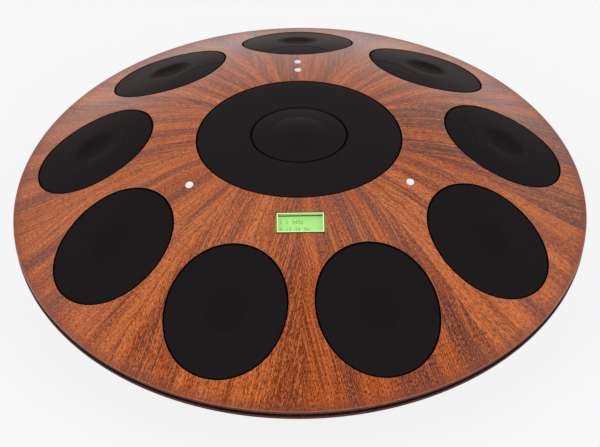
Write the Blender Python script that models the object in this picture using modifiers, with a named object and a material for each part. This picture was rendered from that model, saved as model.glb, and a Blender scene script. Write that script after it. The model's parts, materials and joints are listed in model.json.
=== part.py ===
"""Electronic handpan: a wooden pan with a ring of strike pads round a split centre pad.

Sizes are in metres. +Z is up, the player sits on the -Y side, and the pan stands on its feet at z = 0.
The pads, their foams, their sensors and the deck that carries them all follow the curve of the wooden top.
"""
import math

import bmesh
import bpy
from mathutils import Matrix, Vector

# Wooden top: a bell-shaped dome that flares out to the rim
PAN_RADIUS = 0.260
DOME_RISE = 0.0813
DOME_FULLNESS = 0.58
DOME_FLARE = -0.94
TOP_WALL = 0.0033

# Wood left between the openings of the top
RIM_BAND = 0.0172
PAD_BRIDGE = 0.0218
CONTROL_BAND = 0.0419

# Strike pads
PAD_COUNT = 9
PAD_GROOVE = 0.0015
PAD_SET = 0.0004
PAD_EDGE = 0.0008
PAD_FLANGE = 0.0030
PAD_FLANGE_WALL = 0.0016
DIMPLE_RADIUS = 0.0240
DIMPLE_DEPTH = 0.0036
DIMPLE_POWER = 3.0

# Centre pad: an oval ring with a raised oval boss in its middle
CENTRE_HALF_X = 0.0919
CENTRE_HALF_Y = 0.0805
BOSS_HALF_X = 0.0433
BOSS_RISE = 0.0030
BOSS_CAP_HALF_X = 0.0245
BOSS_CAP_RISE = 0.0020

# What lies under the pads
FOAM_HEIGHT = 0.0036
FOAM_WIDTH = 0.0070
SENSOR_RADIUS = 0.0135
SENSOR_WALL = 0.0008
DECK_WALL = 0.0025
DECK_WIRE_HOLE = 0.010
DECK_INSET = 0.0012

# Rim seam and its gasket
SEAM = 0.0035
GASKET_INSET = 0.0025
GASKET_WIDTH = 0.0072

# Lower shell: a shallow bowl with a flat base
LOWER_INSET = 0.0005
LOWER_EDGE = 0.0028
LOWER_LAND = 0.0160
BOWL_DEPTH = 0.0492
BOWL_FLAT = 0.150
BOWL_POWER = 1.6
LOWER_WALL = 0.0040

# Feet
FOOT_COUNT = 4
FOOT_RADIUS = 0.013
FOOT_HEIGHT = 0.008
FOOT_EDGE = 0.0015
FOOT_CIRCLE = 0.128

# Display
DISPLAY_SETBACK = 0.0262
WINDOW_WIDTH = 0.0430
WINDOW_LENGTH = 0.0225
WINDOW_CORNER = 0.0012
WINDOW_SET = 0.0005
WINDOW_WALL = 0.0020
FRAME_BORDER = 0.0018
FRAME_HEIGHT = 0.0020
MODULE_BORDER_X = 0.0065
MODULE_BORDER_Y = 0.0048

# Push buttons and the switch boards under them
SIDE_BUTTON_RADIUS = 0.00365
SIDE_BUTTON_ANGLE = 30.0
BACK_BUTTON_RADIUS = 0.00315
BACK_BUTTON_PITCH = 0.0171
BACK_BUTTON_SETBACK = 0.0275
BUTTON_PROUD = 0.0004
BUTTON_DISH = 0.0003
BUTTON_FLANGE = 0.0014
BUTTON_FLANGE_WALL = 0.0010
BUTTON_STEM_RADIUS = 0.0015
BUTTON_STEM = 0.0008
BUTTON_TRAVEL = 0.0005
BOARD_WALL = 0.0012
SWITCH_BOARD_WIDTH = 0.013
SWITCH_BODY = 0.0062

# Speakers and their grilles
SPEAKER_SPREAD = 0.085
SPEAKER_RADIUS = 0.0385
SPEAKER_LIP = 0.0025
SPEAKER_HEIGHT = 0.034
MAGNET_RADIUS = 0.021
MAGNET_HEIGHT = 0.013
CONE_RADIUS = 0.030
CONE_DEPTH = 0.011
CONE_CAP_RADIUS = 0.010
GRILLE_RADIUS = 0.033
GRILLE_WALL = 0.0020
GRILLE_HOLE = 0.0052
GRILLE_PITCH = 0.0134

# Connector bay in the back of the lower shell
BAY_WIDTH = 0.090
BAY_DEPTH = 0.0565
BAY_WALL = 0.0025
SOCKET_DROP = 0.0095
SOCKET_LIFT = 0.0008
SOCKET_PITCH = 0.026
PHONES_RADIUS = 0.0035
PHONES_BODY_RADIUS = 0.0050
PHONES_BORE = 0.0018
PHONES_DEPTH = 0.014
PHONES_NOSE = 0.0010
USB_WIDTH = 0.0090
USB_HEIGHT = 0.0034
USB_DEPTH = 0.0085
USB_WALL = 0.0004
USB_TONGUE = 0.0008
ROCKER_WIDTH = 0.0130
ROCKER_HEIGHT = 0.0086
ROCKER_DEPTH = 0.0090
ROCKER_TILT = 7.0

# Main board and battery
MAIN_BOARD_X = 0.130
MAIN_BOARD_Y = 0.080
MAIN_BOARD_CENTRE_Y = 0.095
MAIN_BOARD_INSET = 0.007
STANDOFF_RADIUS = 0.0045
STANDOFF_HEIGHT = 0.006
CHIP_HEIGHT = 0.0030
CHIP_SIDE = 0.020
CHIP_PITCH = 0.043
BATTERY_X = 0.110
BATTERY_Y = 0.062
BATTERY_Z = 0.022
BATTERY_CORNER = 0.006
BATTERY_CENTRE_Y = -0.094

# Clearances: between flat faces, between curved faces, and of a cap in its hole
GAP = 0.0003
CURVED_GAP = 0.0006
HOLE_GAP = 0.0004

# Facets of the turned pieces
SHELL_STEPS = 56
LOWER_STEPS = 32
DECK_STEPS = 32
PAD_STEPS = 22
CENTRE_STEPS = 30
FOAM_STEPS = 12
SMALL_STEPS = 10
SPEAKER_STEPS = 16
CURVE_POINTS = 9
DIMPLE_ROWS = (0.0, 0.7, 1.0)
BOSS_ROWS = 3

# Layout worked out from the sizes above
PAD_OUTER = PAN_RADIUS - RIM_BAND
PAD_INNER = CENTRE_HALF_X + CONTROL_BAND
PAD_CIRCLE = (PAD_OUTER + PAD_INNER) / 2
PAD_HALF_RADIAL = (PAD_OUTER - PAD_INNER) / 2
PAD_HALF_ACROSS = PAD_CIRCLE * math.sin(math.pi / PAD_COUNT) - PAD_BRIDGE / 2
DISPLAY_CENTRE = CENTRE_HALF_Y + DISPLAY_SETBACK
BACK_BUTTON_CENTRE = CENTRE_HALF_Y + BACK_BUTTON_SETBACK
LOWER_RADIUS = PAN_RADIUS - LOWER_INSET
GASKET_OUTER = PAN_RADIUS - GASKET_INSET
GASKET_INNER = GASKET_OUTER - GASKET_WIDTH

# Heights, from the floor up
BASE = FOOT_HEIGHT
FLOOR = BASE + LOWER_WALL
LOWER_RIM = BASE + BOWL_DEPTH + LOWER_EDGE
UPPER_RIM = LOWER_RIM + SEAM
RIM_TOP = UPPER_RIM + TOP_WALL

# Depths of the layers under the face of the wooden top
FLANGE_TOP = TOP_WALL + CURVED_GAP
PAD_BOTTOM = FLANGE_TOP + PAD_FLANGE_WALL
FOAM_TOP = PAD_BOTTOM + CURVED_GAP
FOAM_BOTTOM = FOAM_TOP + FOAM_HEIGHT
DECK_TOP = FOAM_BOTTOM + CURVED_GAP
DECK_BOTTOM = DECK_TOP + DECK_WALL


def dome_height(radius):
    """Height of the wooden top's face at a distance from the middle."""
    share = (radius / PAN_RADIUS) ** 2
    return RIM_TOP + DOME_RISE * (1 - share) * (1 + DOME_FULLNESS * share + DOME_FLARE * share ** 2)


def dome_slope(radius):
    """Slope of the wooden top's face, negative outwards."""
    share = (radius / PAN_RADIUS) ** 2
    swell = 1 + DOME_FULLNESS * share + DOME_FLARE * share ** 2
    swell_rate = DOME_FULLNESS + 2 * DOME_FLARE * share
    return DOME_RISE * ((1 - share) * swell_rate - swell) * 2 * radius / PAN_RADIUS ** 2


def bowl_height(radius):
    """Height of the lower shell's outer face."""
    reach = max(0.0, radius - BOWL_FLAT) / (LOWER_RADIUS - BOWL_FLAT)
    return BASE + BOWL_DEPTH * reach ** BOWL_POWER


def square_depth(depth, radius):
    """Depth square to the dome for a depth measured straight down."""
    return depth / math.hypot(1.0, dome_slope(radius))


def spread(start, end, count):
    """Evenly spaced values from start to end, both included."""
    return [start + (end - start) * index / (count - 1) for index in range(count)]


def clear_scene():
    for old in list(bpy.data.objects):
        bpy.data.objects.remove(old, do_unlink=True)
    for old in list(bpy.data.collections):
        bpy.data.collections.remove(old)


clear_scene()
PARTS = bpy.data.collections.new("electronic_handpan")
CUTTERS = bpy.data.collections.new("cutters")
bpy.context.scene.collection.children.link(PARTS)
bpy.context.scene.collection.children.link(CUTTERS)


def make_material(name, colour, roughness, metallic=0.0):
    material = bpy.data.materials.new(name)
    material.use_nodes = True
    shader = material.node_tree.nodes["Principled BSDF"]
    shader.inputs["Base Color"].default_value = (*colour, 1.0)
    shader.inputs["Roughness"].default_value = roughness
    shader.inputs["Metallic"].default_value = metallic
    return material


TOP_WOOD = make_material("top_wood", (0.30, 0.085, 0.030), 0.35)
LOWER_WOOD = make_material("lower_wood", (0.12, 0.040, 0.018), 0.40)
PAD_RUBBER = make_material("pad_rubber", (0.016, 0.015, 0.016), 0.55)
GASKET_RUBBER = make_material("gasket_rubber", (0.010, 0.010, 0.010), 0.70)
FOOT_RUBBER = make_material("foot_rubber", (0.015, 0.015, 0.015), 0.75)
FOAM = make_material("foam", (0.050, 0.050, 0.055), 0.95)
DECK_PLASTIC = make_material("deck_plastic", (0.060, 0.060, 0.065), 0.60)
SENSOR_BRASS = make_material("sensor_brass", (0.72, 0.50, 0.20), 0.35, 1.0)
WINDOW_CLEAR = make_material("window_clear", (0.75, 0.95, 0.70), 0.05)
FRAME_PLASTIC = make_material("frame_plastic", (0.62, 0.78, 0.42), 0.40)
MODULE_GREEN = make_material("module_green", (0.38, 0.82, 0.25), 0.35)
BUTTON_WHITE = make_material("button_white", (0.85, 0.84, 0.82), 0.30)
BOARD_GREEN = make_material("board_green", (0.030, 0.160, 0.070), 0.50)
BATTERY_WRAP = make_material("battery_wrap", (0.050, 0.090, 0.200), 0.40)
SPEAKER_BLACK = make_material("speaker_black", (0.020, 0.020, 0.020), 0.60)
GRILLE_METAL = make_material("grille_metal", (0.030, 0.030, 0.032), 0.40, 0.8)
BAY_PLASTIC = make_material("bay_plastic", (0.022, 0.022, 0.024), 0.55)
SOCKET_PLASTIC = make_material("socket_plastic", (0.014, 0.014, 0.014), 0.35)
SOCKET_STEEL = make_material("socket_steel", (0.60, 0.60, 0.60), 0.30, 1.0)
ROCKER_PLASTIC = make_material("rocker_plastic", (0.020, 0.020, 0.022), 0.30)


def add_part(name, mesh, material, seat=None):
    """A sub-part, in its seat's own frame where it has one."""
    part = bpy.data.objects.new(name, mesh)
    if not mesh.materials:
        mesh.materials.append(material)
        mesh.shade_smooth()
        mesh.set_sharp_from_angle(angle=math.radians(35))
    part.parent = seat
    PARTS.objects.link(part)
    return part


def add_cutter(name, mesh, matrix):
    cutter = bpy.data.objects.new(name, mesh)
    cutter.matrix_world = matrix
    cutter.hide_render = True
    cutter.display_type = 'WIRE'
    CUTTERS.objects.link(cutter)
    return cutter


def add_seat(name, matrix):
    """An empty that carries a group of pieces, so that they are modelled in its frame."""
    seat = bpy.data.objects.new(name, None)
    seat.empty_display_size = PAD_FLANGE
    seat.matrix_world = matrix
    PARTS.objects.link(seat)
    return seat


def combine(part, cutter, operation):
    step = part.modifiers.new(cutter.name, 'BOOLEAN')
    step.operation = operation
    step.object = cutter
    step.solver = 'EXACT'


def turned(name, profile, steps, closed=True):
    """Mesh of a profile of (radius, height) points turned about Z. An open profile ends on the axis."""
    points = [(radius, 0.0, height) for radius, height in profile]
    edges = [(index, index + 1) for index in range(len(points) - 1)]
    if closed:
        edges.append((len(points) - 1, 0))
    outline = bpy.data.meshes.new(name + "_profile")
    outline.from_pydata(points, edges, [])
    blank = bpy.data.objects.new(name + "_blank", outline)
    PARTS.objects.link(blank)
    screw = blank.modifiers.new("turn", 'SCREW')
    screw.steps = steps
    screw.render_steps = steps
    screw.use_merge_vertices = True
    screw.merge_threshold = 1e-6
    graph = bpy.context.evaluated_depsgraph_get()
    mesh = bpy.data.meshes.new_from_object(blank.evaluated_get(graph))
    mesh.name = name
    bpy.data.objects.remove(blank)
    bpy.data.meshes.remove(outline)
    return mesh


def block(name, size, centre=(0.0, 0.0, 0.0), corner=0.0):
    """Mesh of a box, with its upright edges rounded where corner is given."""
    build = bmesh.new()
    bmesh.ops.create_cube(build, size=1.0, matrix=Matrix.Diagonal((*size, 1.0)))
    if corner:
        upright = [edge for edge in build.edges if edge.verts[0].co.xy == edge.verts[1].co.xy]
        bmesh.ops.bevel(build, geom=upright, offset=corner, segments=3, profile=0.5, affect='EDGES')
    bmesh.ops.translate(build, verts=build.verts, vec=centre)
    mesh = bpy.data.meshes.new(name)
    build.to_mesh(mesh)
    build.free()
    return mesh


def drum(name, radius, low, high, sides):
    """Mesh of an upright cylinder between two heights."""
    build = bmesh.new()
    middle = Matrix.Translation((0.0, 0.0, (low + high) / 2))
    bmesh.ops.create_cone(build, cap_ends=True, segments=sides, radius1=radius, radius2=radius,
                          depth=high - low, matrix=middle)
    mesh = bpy.data.meshes.new(name)
    build.to_mesh(mesh)
    build.free()
    return mesh


def drape(mesh, seat_radius, scale_x=1.0, scale_y=1.0):
    """Bends a flat piece to the dome, round a seat at a distance from the middle along local X."""
    rest = dome_height(seat_radius)
    for vertex in mesh.vertices:
        vertex.co.x *= scale_x
        vertex.co.y *= scale_y
        vertex.co.z += dome_height(math.hypot(seat_radius + vertex.co.x, vertex.co.y)) - rest


def dome_frame(radius, angle):
    """Frame on the dome's face: local Z is square to it, local Y points up the slope."""
    outward = Vector((math.cos(angle), math.sin(angle), 0.0))
    across = Vector((-math.sin(angle), math.cos(angle), 0.0))
    square = (Vector((0.0, 0.0, 1.0)) - outward * dome_slope(radius)).normalized()
    uphill = square.cross(across)
    frame = Matrix((across, uphill, square)).transposed().to_4x4()
    frame.translation = outward * radius + Vector((0.0, 0.0, dome_height(radius)))
    return frame


def pad_frame(index):
    """Frame at a strike pad's middle: local X points outwards, and local Z is upright."""
    angle = math.radians(90) + 2 * math.pi * index / PAD_COUNT
    place = (PAD_CIRCLE * math.cos(angle), PAD_CIRCLE * math.sin(angle), dome_height(PAD_CIRCLE))
    return Matrix.Translation(place) @ Matrix.Rotation(angle, 4, 'Z')


def centre_opening(angle):
    """Distance from the middle to the edge of the oval opening."""
    return 1 / math.hypot(math.cos(angle) / CENTRE_HALF_X, math.sin(angle) / CENTRE_HALF_Y)


CENTRE_FRAME = Matrix.Translation((0.0, 0.0, dome_height(0.0)))
CENTRE_SHAPE = CENTRE_HALF_Y / CENTRE_HALF_X
PAD_SHAPE = PAD_HALF_RADIAL / PAD_HALF_ACROSS


def top_shell():
    """Wooden dome with a thick rim land, open for the pads, the display and the buttons."""
    start = BOSS_HALF_X
    land = GASKET_INNER - GAP
    outside = [(radius, dome_height(radius)) for radius in spread(start, PAN_RADIUS, CURVE_POINTS + 2)]
    inside = [(radius, dome_height(radius) - TOP_WALL) for radius in spread(land, start, CURVE_POINTS)]
    profile = outside + [(PAN_RADIUS, UPPER_RIM), (land, UPPER_RIM)] + inside
    shell = add_part("top_shell", turned("top_shell", profile, SHELL_STEPS), TOP_WOOD)
    through = 4 * TOP_WALL + PAD_HALF_RADIAL
    pad_hole = drum("pad_hole", PAD_HALF_ACROSS, -through, through, PAD_STEPS)
    pad_hole.transform(Matrix.Diagonal((PAD_SHAPE, 1.0, 1.0, 1.0)))
    for index in range(PAD_COUNT):
        combine(shell, add_cutter(f"pad_hole_{index + 1}", pad_hole, pad_frame(index)), 'DIFFERENCE')
    centre_hole = drum("centre_hole", CENTRE_HALF_X, -through, through, CENTRE_STEPS)
    centre_hole.transform(Matrix.Diagonal((1.0, CENTRE_SHAPE, 1.0, 1.0)))
    combine(shell, add_cutter("centre_hole", centre_hole, CENTRE_FRAME), 'DIFFERENCE')
    size = (WINDOW_WIDTH, WINDOW_LENGTH, 4 * TOP_WALL)
    window_hole = block("window_hole", size, corner=WINDOW_CORNER)
    combine(shell, add_cutter("window_hole", window_hole, display_frame_matrix()), 'DIFFERENCE')
    for name, frame, radius in button_places():
        bore = drum(name + "_bore", radius + HOLE_GAP, -3 * TOP_WALL, 3 * TOP_WALL, SMALL_STEPS)
        combine(shell, add_cutter(name + "_bore", bore, frame), 'DIFFERENCE')


def strike_pad_profile(edge):
    """Rubber pad with a dimple in its middle and a flange that is caught under the wood."""
    dimple = [(DIMPLE_RADIUS * share, -PAD_SET - DIMPLE_DEPTH * (1 - share ** DIMPLE_POWER))
              for share in DIMPLE_ROWS]
    brim = edge + PAD_GROOVE + PAD_FLANGE
    return dimple + [
        (edge - PAD_EDGE, -PAD_SET),
        (edge, -PAD_SET - PAD_EDGE),
        (edge, -FLANGE_TOP),
        (brim, -FLANGE_TOP),
        (brim, -PAD_BOTTOM),
        (brim - PAD_FLANGE - PAD_GROOVE - FOAM_WIDTH, -PAD_BOTTOM),
        (0.0, -PAD_BOTTOM),
    ]


def foam_profile(outer):
    inner = outer - FOAM_WIDTH
    return [(inner, -FOAM_TOP), (outer, -FOAM_TOP), (outer, -FOAM_BOTTOM), (inner, -FOAM_BOTTOM)]


def sensor_disc(name):
    """Thin sensing disc on the deck."""
    low = -DECK_TOP + CURVED_GAP
    return drum(name, SENSOR_RADIUS, low, low + SENSOR_WALL, SMALL_STEPS)


def strike_pads():
    """Nine alike stacks of pad, foam ring and sensor, each in its own seat on the dome."""
    edge = PAD_HALF_ACROSS - PAD_GROOVE
    pad = turned("strike_pad", strike_pad_profile(edge), PAD_STEPS, closed=False)
    foam = turned("pad_foam", foam_profile(edge), FOAM_STEPS)
    sensor = sensor_disc("pad_sensor")
    for mesh in (pad, foam, sensor):
        drape(mesh, PAD_CIRCLE, scale_x=PAD_SHAPE)
    for index in range(PAD_COUNT):
        seat = add_seat(f"pad_seat_{index + 1}", pad_frame(index))
        add_part(f"tone_pad_{index + 1}", pad, PAD_RUBBER, seat)
        add_part(f"pad_foam_{index + 1}", foam, FOAM, seat)
        add_part(f"pad_sensor_{index + 1}", sensor, SENSOR_BRASS, seat)


def boss_height(reach, edge):
    """Rise of the boss over the dome: a low crown out to its edge, and a rounder cap in its middle."""
    crown = BOSS_RISE * (1 - (reach / edge) ** 2)
    return crown + BOSS_CAP_RISE * max(0.0, 1 - (reach / BOSS_CAP_HALF_X) ** 2)


def centre_pads():
    """Oval ring pad with the raised boss pad in its middle, each on its own foam."""
    seat = add_seat("centre_seat", CENTRE_FRAME)
    edge = CENTRE_HALF_X - PAD_GROOVE
    brim = CENTRE_HALF_X + PAD_FLANGE
    ring_face = [(radius, -PAD_SET) for radius in spread(BOSS_HALF_X + PAD_EDGE, edge - PAD_EDGE, 3)]
    ring_back = [(radius, -PAD_BOTTOM) for radius in spread(brim, BOSS_HALF_X, 3)]
    ring_side = [(edge, -PAD_SET - PAD_EDGE), (edge, -FLANGE_TOP), (brim, -FLANGE_TOP)]
    ring_profile = ring_face + ring_side + ring_back + [(BOSS_HALF_X, -PAD_SET - PAD_EDGE)]
    boss_edge = BOSS_HALF_X - PAD_GROOVE
    boss_top = boss_edge - PAD_EDGE
    boss_reach = spread(0.0, BOSS_CAP_HALF_X, BOSS_ROWS) + spread(BOSS_CAP_HALF_X, boss_top, BOSS_ROWS)[1:]
    boss_face = [(reach, -PAD_SET + boss_height(reach, boss_top)) for reach in boss_reach]
    boss_side = [(boss_edge, -PAD_SET - PAD_EDGE), (boss_edge, -PAD_BOTTOM)]
    boss_back = [(boss_edge - FOAM_WIDTH, -PAD_BOTTOM), (0.0, -PAD_BOTTOM)]
    boss_profile = boss_face + boss_side + boss_back
    pieces = [
        (turned("ring_pad", ring_profile, CENTRE_STEPS), PAD_RUBBER),
        (turned("ring_foam", foam_profile(edge), CENTRE_STEPS), FOAM),
        (turned("centre_pad", boss_profile, PAD_STEPS, closed=False), PAD_RUBBER),
        (turned("centre_foam", foam_profile(boss_edge), PAD_STEPS), FOAM),
        (sensor_disc("centre_sensor"), SENSOR_BRASS),
    ]
    for mesh, material in pieces:
        drape(mesh, 0.0, scale_y=CENTRE_SHAPE)
        add_part(mesh.name, mesh, material, seat)


def sensor_deck():
    """Moulded inner dome that carries the foams, the sensors and the small boards."""
    outer = GASKET_INNER - DECK_INSET
    rest = LOWER_RIM + GAP
    top = [(radius, dome_height(radius) - DECK_TOP) for radius in spread(DECK_WIRE_HOLE, outer, CURVE_POINTS)]
    bottom = [(radius, max(rest, dome_height(radius) - DECK_BOTTOM))
              for radius in spread(outer, DECK_WIRE_HOLE, CURVE_POINTS)]
    add_part("sensor_deck", turned("sensor_deck", top + bottom, DECK_STEPS), DECK_PLASTIC)


def rim_gasket():
    low = LOWER_RIM + GAP
    high = UPPER_RIM - GAP
    profile = [(GASKET_INNER, high), (GASKET_OUTER, high), (GASKET_OUTER, low), (GASKET_INNER, low)]
    add_part("rim_gasket", turned("rim_gasket", profile, SHELL_STEPS), GASKET_RUBBER)


def bowl_profile(wall):
    """Outer face of the lower shell from its rim to the axis, raised by wall for its inner face."""
    curve = spread(LOWER_RADIUS, BOWL_FLAT, CURVE_POINTS // 2 + 1)
    return [(radius, bowl_height(radius) + wall) for radius in curve] + [(0.0, BASE + wall)]


def lower_shell():
    """Wooden bowl with a flat land at its rim, open for the speakers and the connector bay."""
    land = LOWER_RADIUS - LOWER_LAND
    floor = [(radius, height) for radius, height in reversed(bowl_profile(LOWER_WALL)) if radius < land]
    inner_corner = [(land, bowl_height(land) + LOWER_WALL), (land, LOWER_RIM), (LOWER_RADIUS, LOWER_RIM)]
    profile = floor + inner_corner + bowl_profile(0.0)
    shell = add_part("bottom_shell", turned("bottom_shell", profile, LOWER_STEPS, closed=False), LOWER_WOOD)
    overlap = LOWER_WALL / 2
    post = drum("standoff", STANDOFF_RADIUS, -overlap, STANDOFF_HEIGHT, SMALL_STEPS)
    for index, (x, y) in enumerate(board_corners()):
        place = Matrix.Translation((x, y, FLOOR))
        combine(shell, add_cutter(f"standoff_{index + 1}", post, place), 'UNION')
    hole = drum("speaker_hole", GRILLE_RADIUS + GAP, -LOWER_WALL, 2 * LOWER_WALL, SPEAKER_STEPS)
    for side, name in ((-1, "left"), (1, "right")):
        place = Matrix.Translation((side * SPEAKER_SPREAD, 0.0, BASE))
        combine(shell, add_cutter(f"speaker_hole_{name}", hole, place), 'DIFFERENCE')
    low, high = bay_box(GAP)
    bay_hole = block("bay_hole", high - low, (low + high) / 2)
    combine(shell, add_cutter("bay_hole", bay_hole, Matrix()), 'DIFFERENCE')


def feet():
    profile = [
        (0.0, FOOT_HEIGHT - GAP),
        (FOOT_RADIUS, FOOT_HEIGHT - GAP),
        (FOOT_RADIUS, FOOT_EDGE),
        (FOOT_RADIUS - FOOT_EDGE, 0.0),
        (0.0, 0.0),
    ]
    mesh = turned("foot", profile, SMALL_STEPS, closed=False)
    for index in range(FOOT_COUNT):
        angle = 2 * math.pi * (index + 0.5) / FOOT_COUNT
        foot = add_part(f"foot_{index + 1}", mesh, FOOT_RUBBER)
        foot.location = (FOOT_CIRCLE * math.cos(angle), FOOT_CIRCLE * math.sin(angle), 0.0)


def display_frame_matrix():
    return dome_frame(DISPLAY_CENTRE, math.radians(270))


def display():
    """Clear window in the wood, the pale frame under it and the lit module on the deck."""
    seat = add_seat("display_seat", display_frame_matrix())
    width = WINDOW_WIDTH - 2 * GAP
    length = WINDOW_LENGTH - 2 * GAP
    window_bottom = -WINDOW_SET - WINDOW_WALL
    window = block("display_window", (width, length, WINDOW_WALL),
                   (0.0, 0.0, window_bottom + WINDOW_WALL / 2), WINDOW_CORNER)
    add_part("display_window", window, WINDOW_CLEAR, seat)
    frame_top = window_bottom - GAP
    frame_centre = (0.0, 0.0, frame_top - FRAME_HEIGHT / 2)
    frame = add_part("display_frame", block("display_frame", (width, length, FRAME_HEIGHT), frame_centre,
                                            WINDOW_CORNER), FRAME_PLASTIC, seat)
    view = (width - 2 * FRAME_BORDER, length - 2 * FRAME_BORDER, 3 * FRAME_HEIGHT)
    view_hole = block("display_view", view, frame_centre)
    combine(frame, add_cutter("display_view", view_hole, display_frame_matrix()), 'DIFFERENCE')
    module_top = frame_top - FRAME_HEIGHT - GAP
    module_bottom = -square_depth(DECK_TOP, DISPLAY_CENTRE) + CURVED_GAP
    size = (width + 2 * MODULE_BORDER_X, length + 2 * MODULE_BORDER_Y, module_top - module_bottom)
    module = block("display_module", size, (0.0, 0.0, (module_top + module_bottom) / 2))
    add_part("display_module", module, MODULE_GREEN, seat)


def side_button_frame(angle):
    radius = (centre_opening(angle) + PAD_INNER) / 2
    return dome_frame(radius, angle), radius


def button_places():
    """Name, frame and cap radius of each push button. The back pair shares one frame's direction."""
    left, _ = side_button_frame(math.radians(180 + SIDE_BUTTON_ANGLE))
    right, _ = side_button_frame(math.radians(360 - SIDE_BUTTON_ANGLE))
    back = dome_frame(BACK_BUTTON_CENTRE, math.radians(90))
    inner = back @ Matrix.Translation((0.0, BACK_BUTTON_PITCH / 2, 0.0))
    outer = back @ Matrix.Translation((0.0, -BACK_BUTTON_PITCH / 2, 0.0))
    return [
        ("button_left", left, SIDE_BUTTON_RADIUS),
        ("button_right", right, SIDE_BUTTON_RADIUS),
        ("button_back_inner", inner, BACK_BUTTON_RADIUS),
        ("button_back_outer", outer, BACK_BUTTON_RADIUS),
    ]


def button_profile(radius, seat_radius):
    """Dished cap, a flange caught under the wood and a stem towards the switch."""
    flange_top = square_depth(TOP_WALL, seat_radius) + CURVED_GAP
    flange_bottom = flange_top + BUTTON_FLANGE_WALL
    return [
        (0.0, BUTTON_PROUD - BUTTON_DISH),
        (radius - 2 * BUTTON_DISH, BUTTON_PROUD),
        (radius, BUTTON_PROUD - BUTTON_DISH),
        (radius, -flange_top),
        (radius + BUTTON_FLANGE, -flange_top),
        (radius + BUTTON_FLANGE, -flange_bottom),
        (BUTTON_STEM_RADIUS, -flange_bottom),
        (BUTTON_STEM_RADIUS, -flange_bottom - BUTTON_STEM),
        (0.0, -flange_bottom - BUTTON_STEM),
    ]


def switch_board(name, frame, seat_radius, switch_places, length):
    """Small board on the deck with a tact switch under each button stem."""
    stem_end = square_depth(TOP_WALL, seat_radius) + CURVED_GAP + BUTTON_FLANGE_WALL + BUTTON_STEM
    low = -square_depth(DECK_TOP, seat_radius) + CURVED_GAP
    high = low + BOARD_WALL
    switch_top = -stem_end - BUTTON_TRAVEL - GAP
    size = (SWITCH_BOARD_WIDTH, length, BOARD_WALL)
    plate = block(name, size, (0.0, 0.0, (low + high) / 2))
    board = add_part(name, plate, BOARD_GREEN, add_seat(name + "_seat", frame))
    for index, y in enumerate(switch_places):
        body_size = (SWITCH_BODY, SWITCH_BODY, switch_top - high + BOARD_WALL / 2)
        body = block("switch_body", body_size, (0.0, y, (switch_top + high - BOARD_WALL / 2) / 2))
        combine(board, add_cutter(f"{name}_switch_{index + 1}", body, frame), 'UNION')


def buttons():
    _, side_radius = side_button_frame(math.radians(180 + SIDE_BUTTON_ANGLE))
    for name, frame, radius in button_places():
        seat_radius = side_radius if radius == SIDE_BUTTON_RADIUS else BACK_BUTTON_CENTRE
        mesh = turned(name, button_profile(radius, seat_radius), SMALL_STEPS, closed=False)
        add_part(name, mesh, BUTTON_WHITE, add_seat(name + "_seat", frame))
    for side, angle in (("left", 180 + SIDE_BUTTON_ANGLE), ("right", 360 - SIDE_BUTTON_ANGLE)):
        frame, radius = side_button_frame(math.radians(angle))
        switch_board("switch_board_" + side, frame, radius, (0.0,), SWITCH_BOARD_WIDTH)
    back = dome_frame(BACK_BUTTON_CENTRE, math.radians(90))
    half = BACK_BUTTON_PITCH / 2
    length = SWITCH_BOARD_WIDTH + BACK_BUTTON_PITCH
    switch_board("switch_board_back", back, BACK_BUTTON_CENTRE, (-half, half), length)


def speakers():
    """Two down-firing drivers on the floor of the lower shell, each over its grille."""
    frame_top = SPEAKER_HEIGHT - MAGNET_HEIGHT
    profile = [
        (0.0, SPEAKER_HEIGHT),
        (MAGNET_RADIUS, SPEAKER_HEIGHT),
        (MAGNET_RADIUS, frame_top),
        (SPEAKER_RADIUS - SPEAKER_LIP, SPEAKER_LIP),
        (SPEAKER_RADIUS, SPEAKER_LIP),
        (SPEAKER_RADIUS, 0.0),
        (CONE_RADIUS, 0.0),
        (CONE_CAP_RADIUS, CONE_DEPTH),
        (0.0, CONE_DEPTH - SPEAKER_LIP),
    ]
    driver = turned("speaker", profile, SPEAKER_STEPS, closed=False)
    plate = drum("speaker_grille", GRILLE_RADIUS, 0.0, GRILLE_WALL, SPEAKER_STEPS)
    holes = grille_holes()
    for side, name in ((-1, "left"), (1, "right")):
        speaker = add_part("speaker_" + name, driver, SPEAKER_BLACK)
        speaker.location = (side * SPEAKER_SPREAD, 0.0, FLOOR + GAP)
        grille = add_part("speaker_grille_" + name, plate, GRILLE_METAL)
        grille.location = (side * SPEAKER_SPREAD, 0.0, BASE)
        place = Matrix.Translation(grille.location)
        combine(grille, add_cutter("grille_holes_" + name, holes, place), 'DIFFERENCE')


def grille_holes():
    """Six-sided holes in a close-packed pattern over the grille."""
    build = bmesh.new()
    row_step = GRILLE_PITCH * math.sqrt(3) / 2
    reach = int(GRILLE_RADIUS / row_step)
    limit = GRILLE_RADIUS - GRILLE_HOLE - GRILLE_WALL
    for row in range(-reach, reach + 1):
        for column in range(-reach, reach + 1):
            x = (column + row / 2) * GRILLE_PITCH
            y = row * row_step
            if math.hypot(x, y) <= limit:
                place = Matrix.Translation((x, y, GRILLE_WALL / 2))
                bmesh.ops.create_cone(build, cap_ends=True, segments=6, radius1=GRILLE_HOLE,
                                      radius2=GRILLE_HOLE, depth=3 * GRILLE_WALL, matrix=place)
    mesh = bpy.data.meshes.new("grille_holes")
    build.to_mesh(mesh)
    build.free()
    return mesh


def bay_box(clearance):
    """Corners of the connector bay's outside, grown by a clearance, from below the base to past the rim."""
    _, height = panel_face()
    ceiling = height + SOCKET_DROP + BAY_WALL
    low = Vector((-BAY_WIDTH / 2 - clearance, LOWER_RADIUS - BAY_DEPTH - clearance, 0.0))
    high = Vector((BAY_WIDTH / 2 + clearance, PAN_RADIUS + BAY_WALL, ceiling + clearance))
    return low, high


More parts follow.
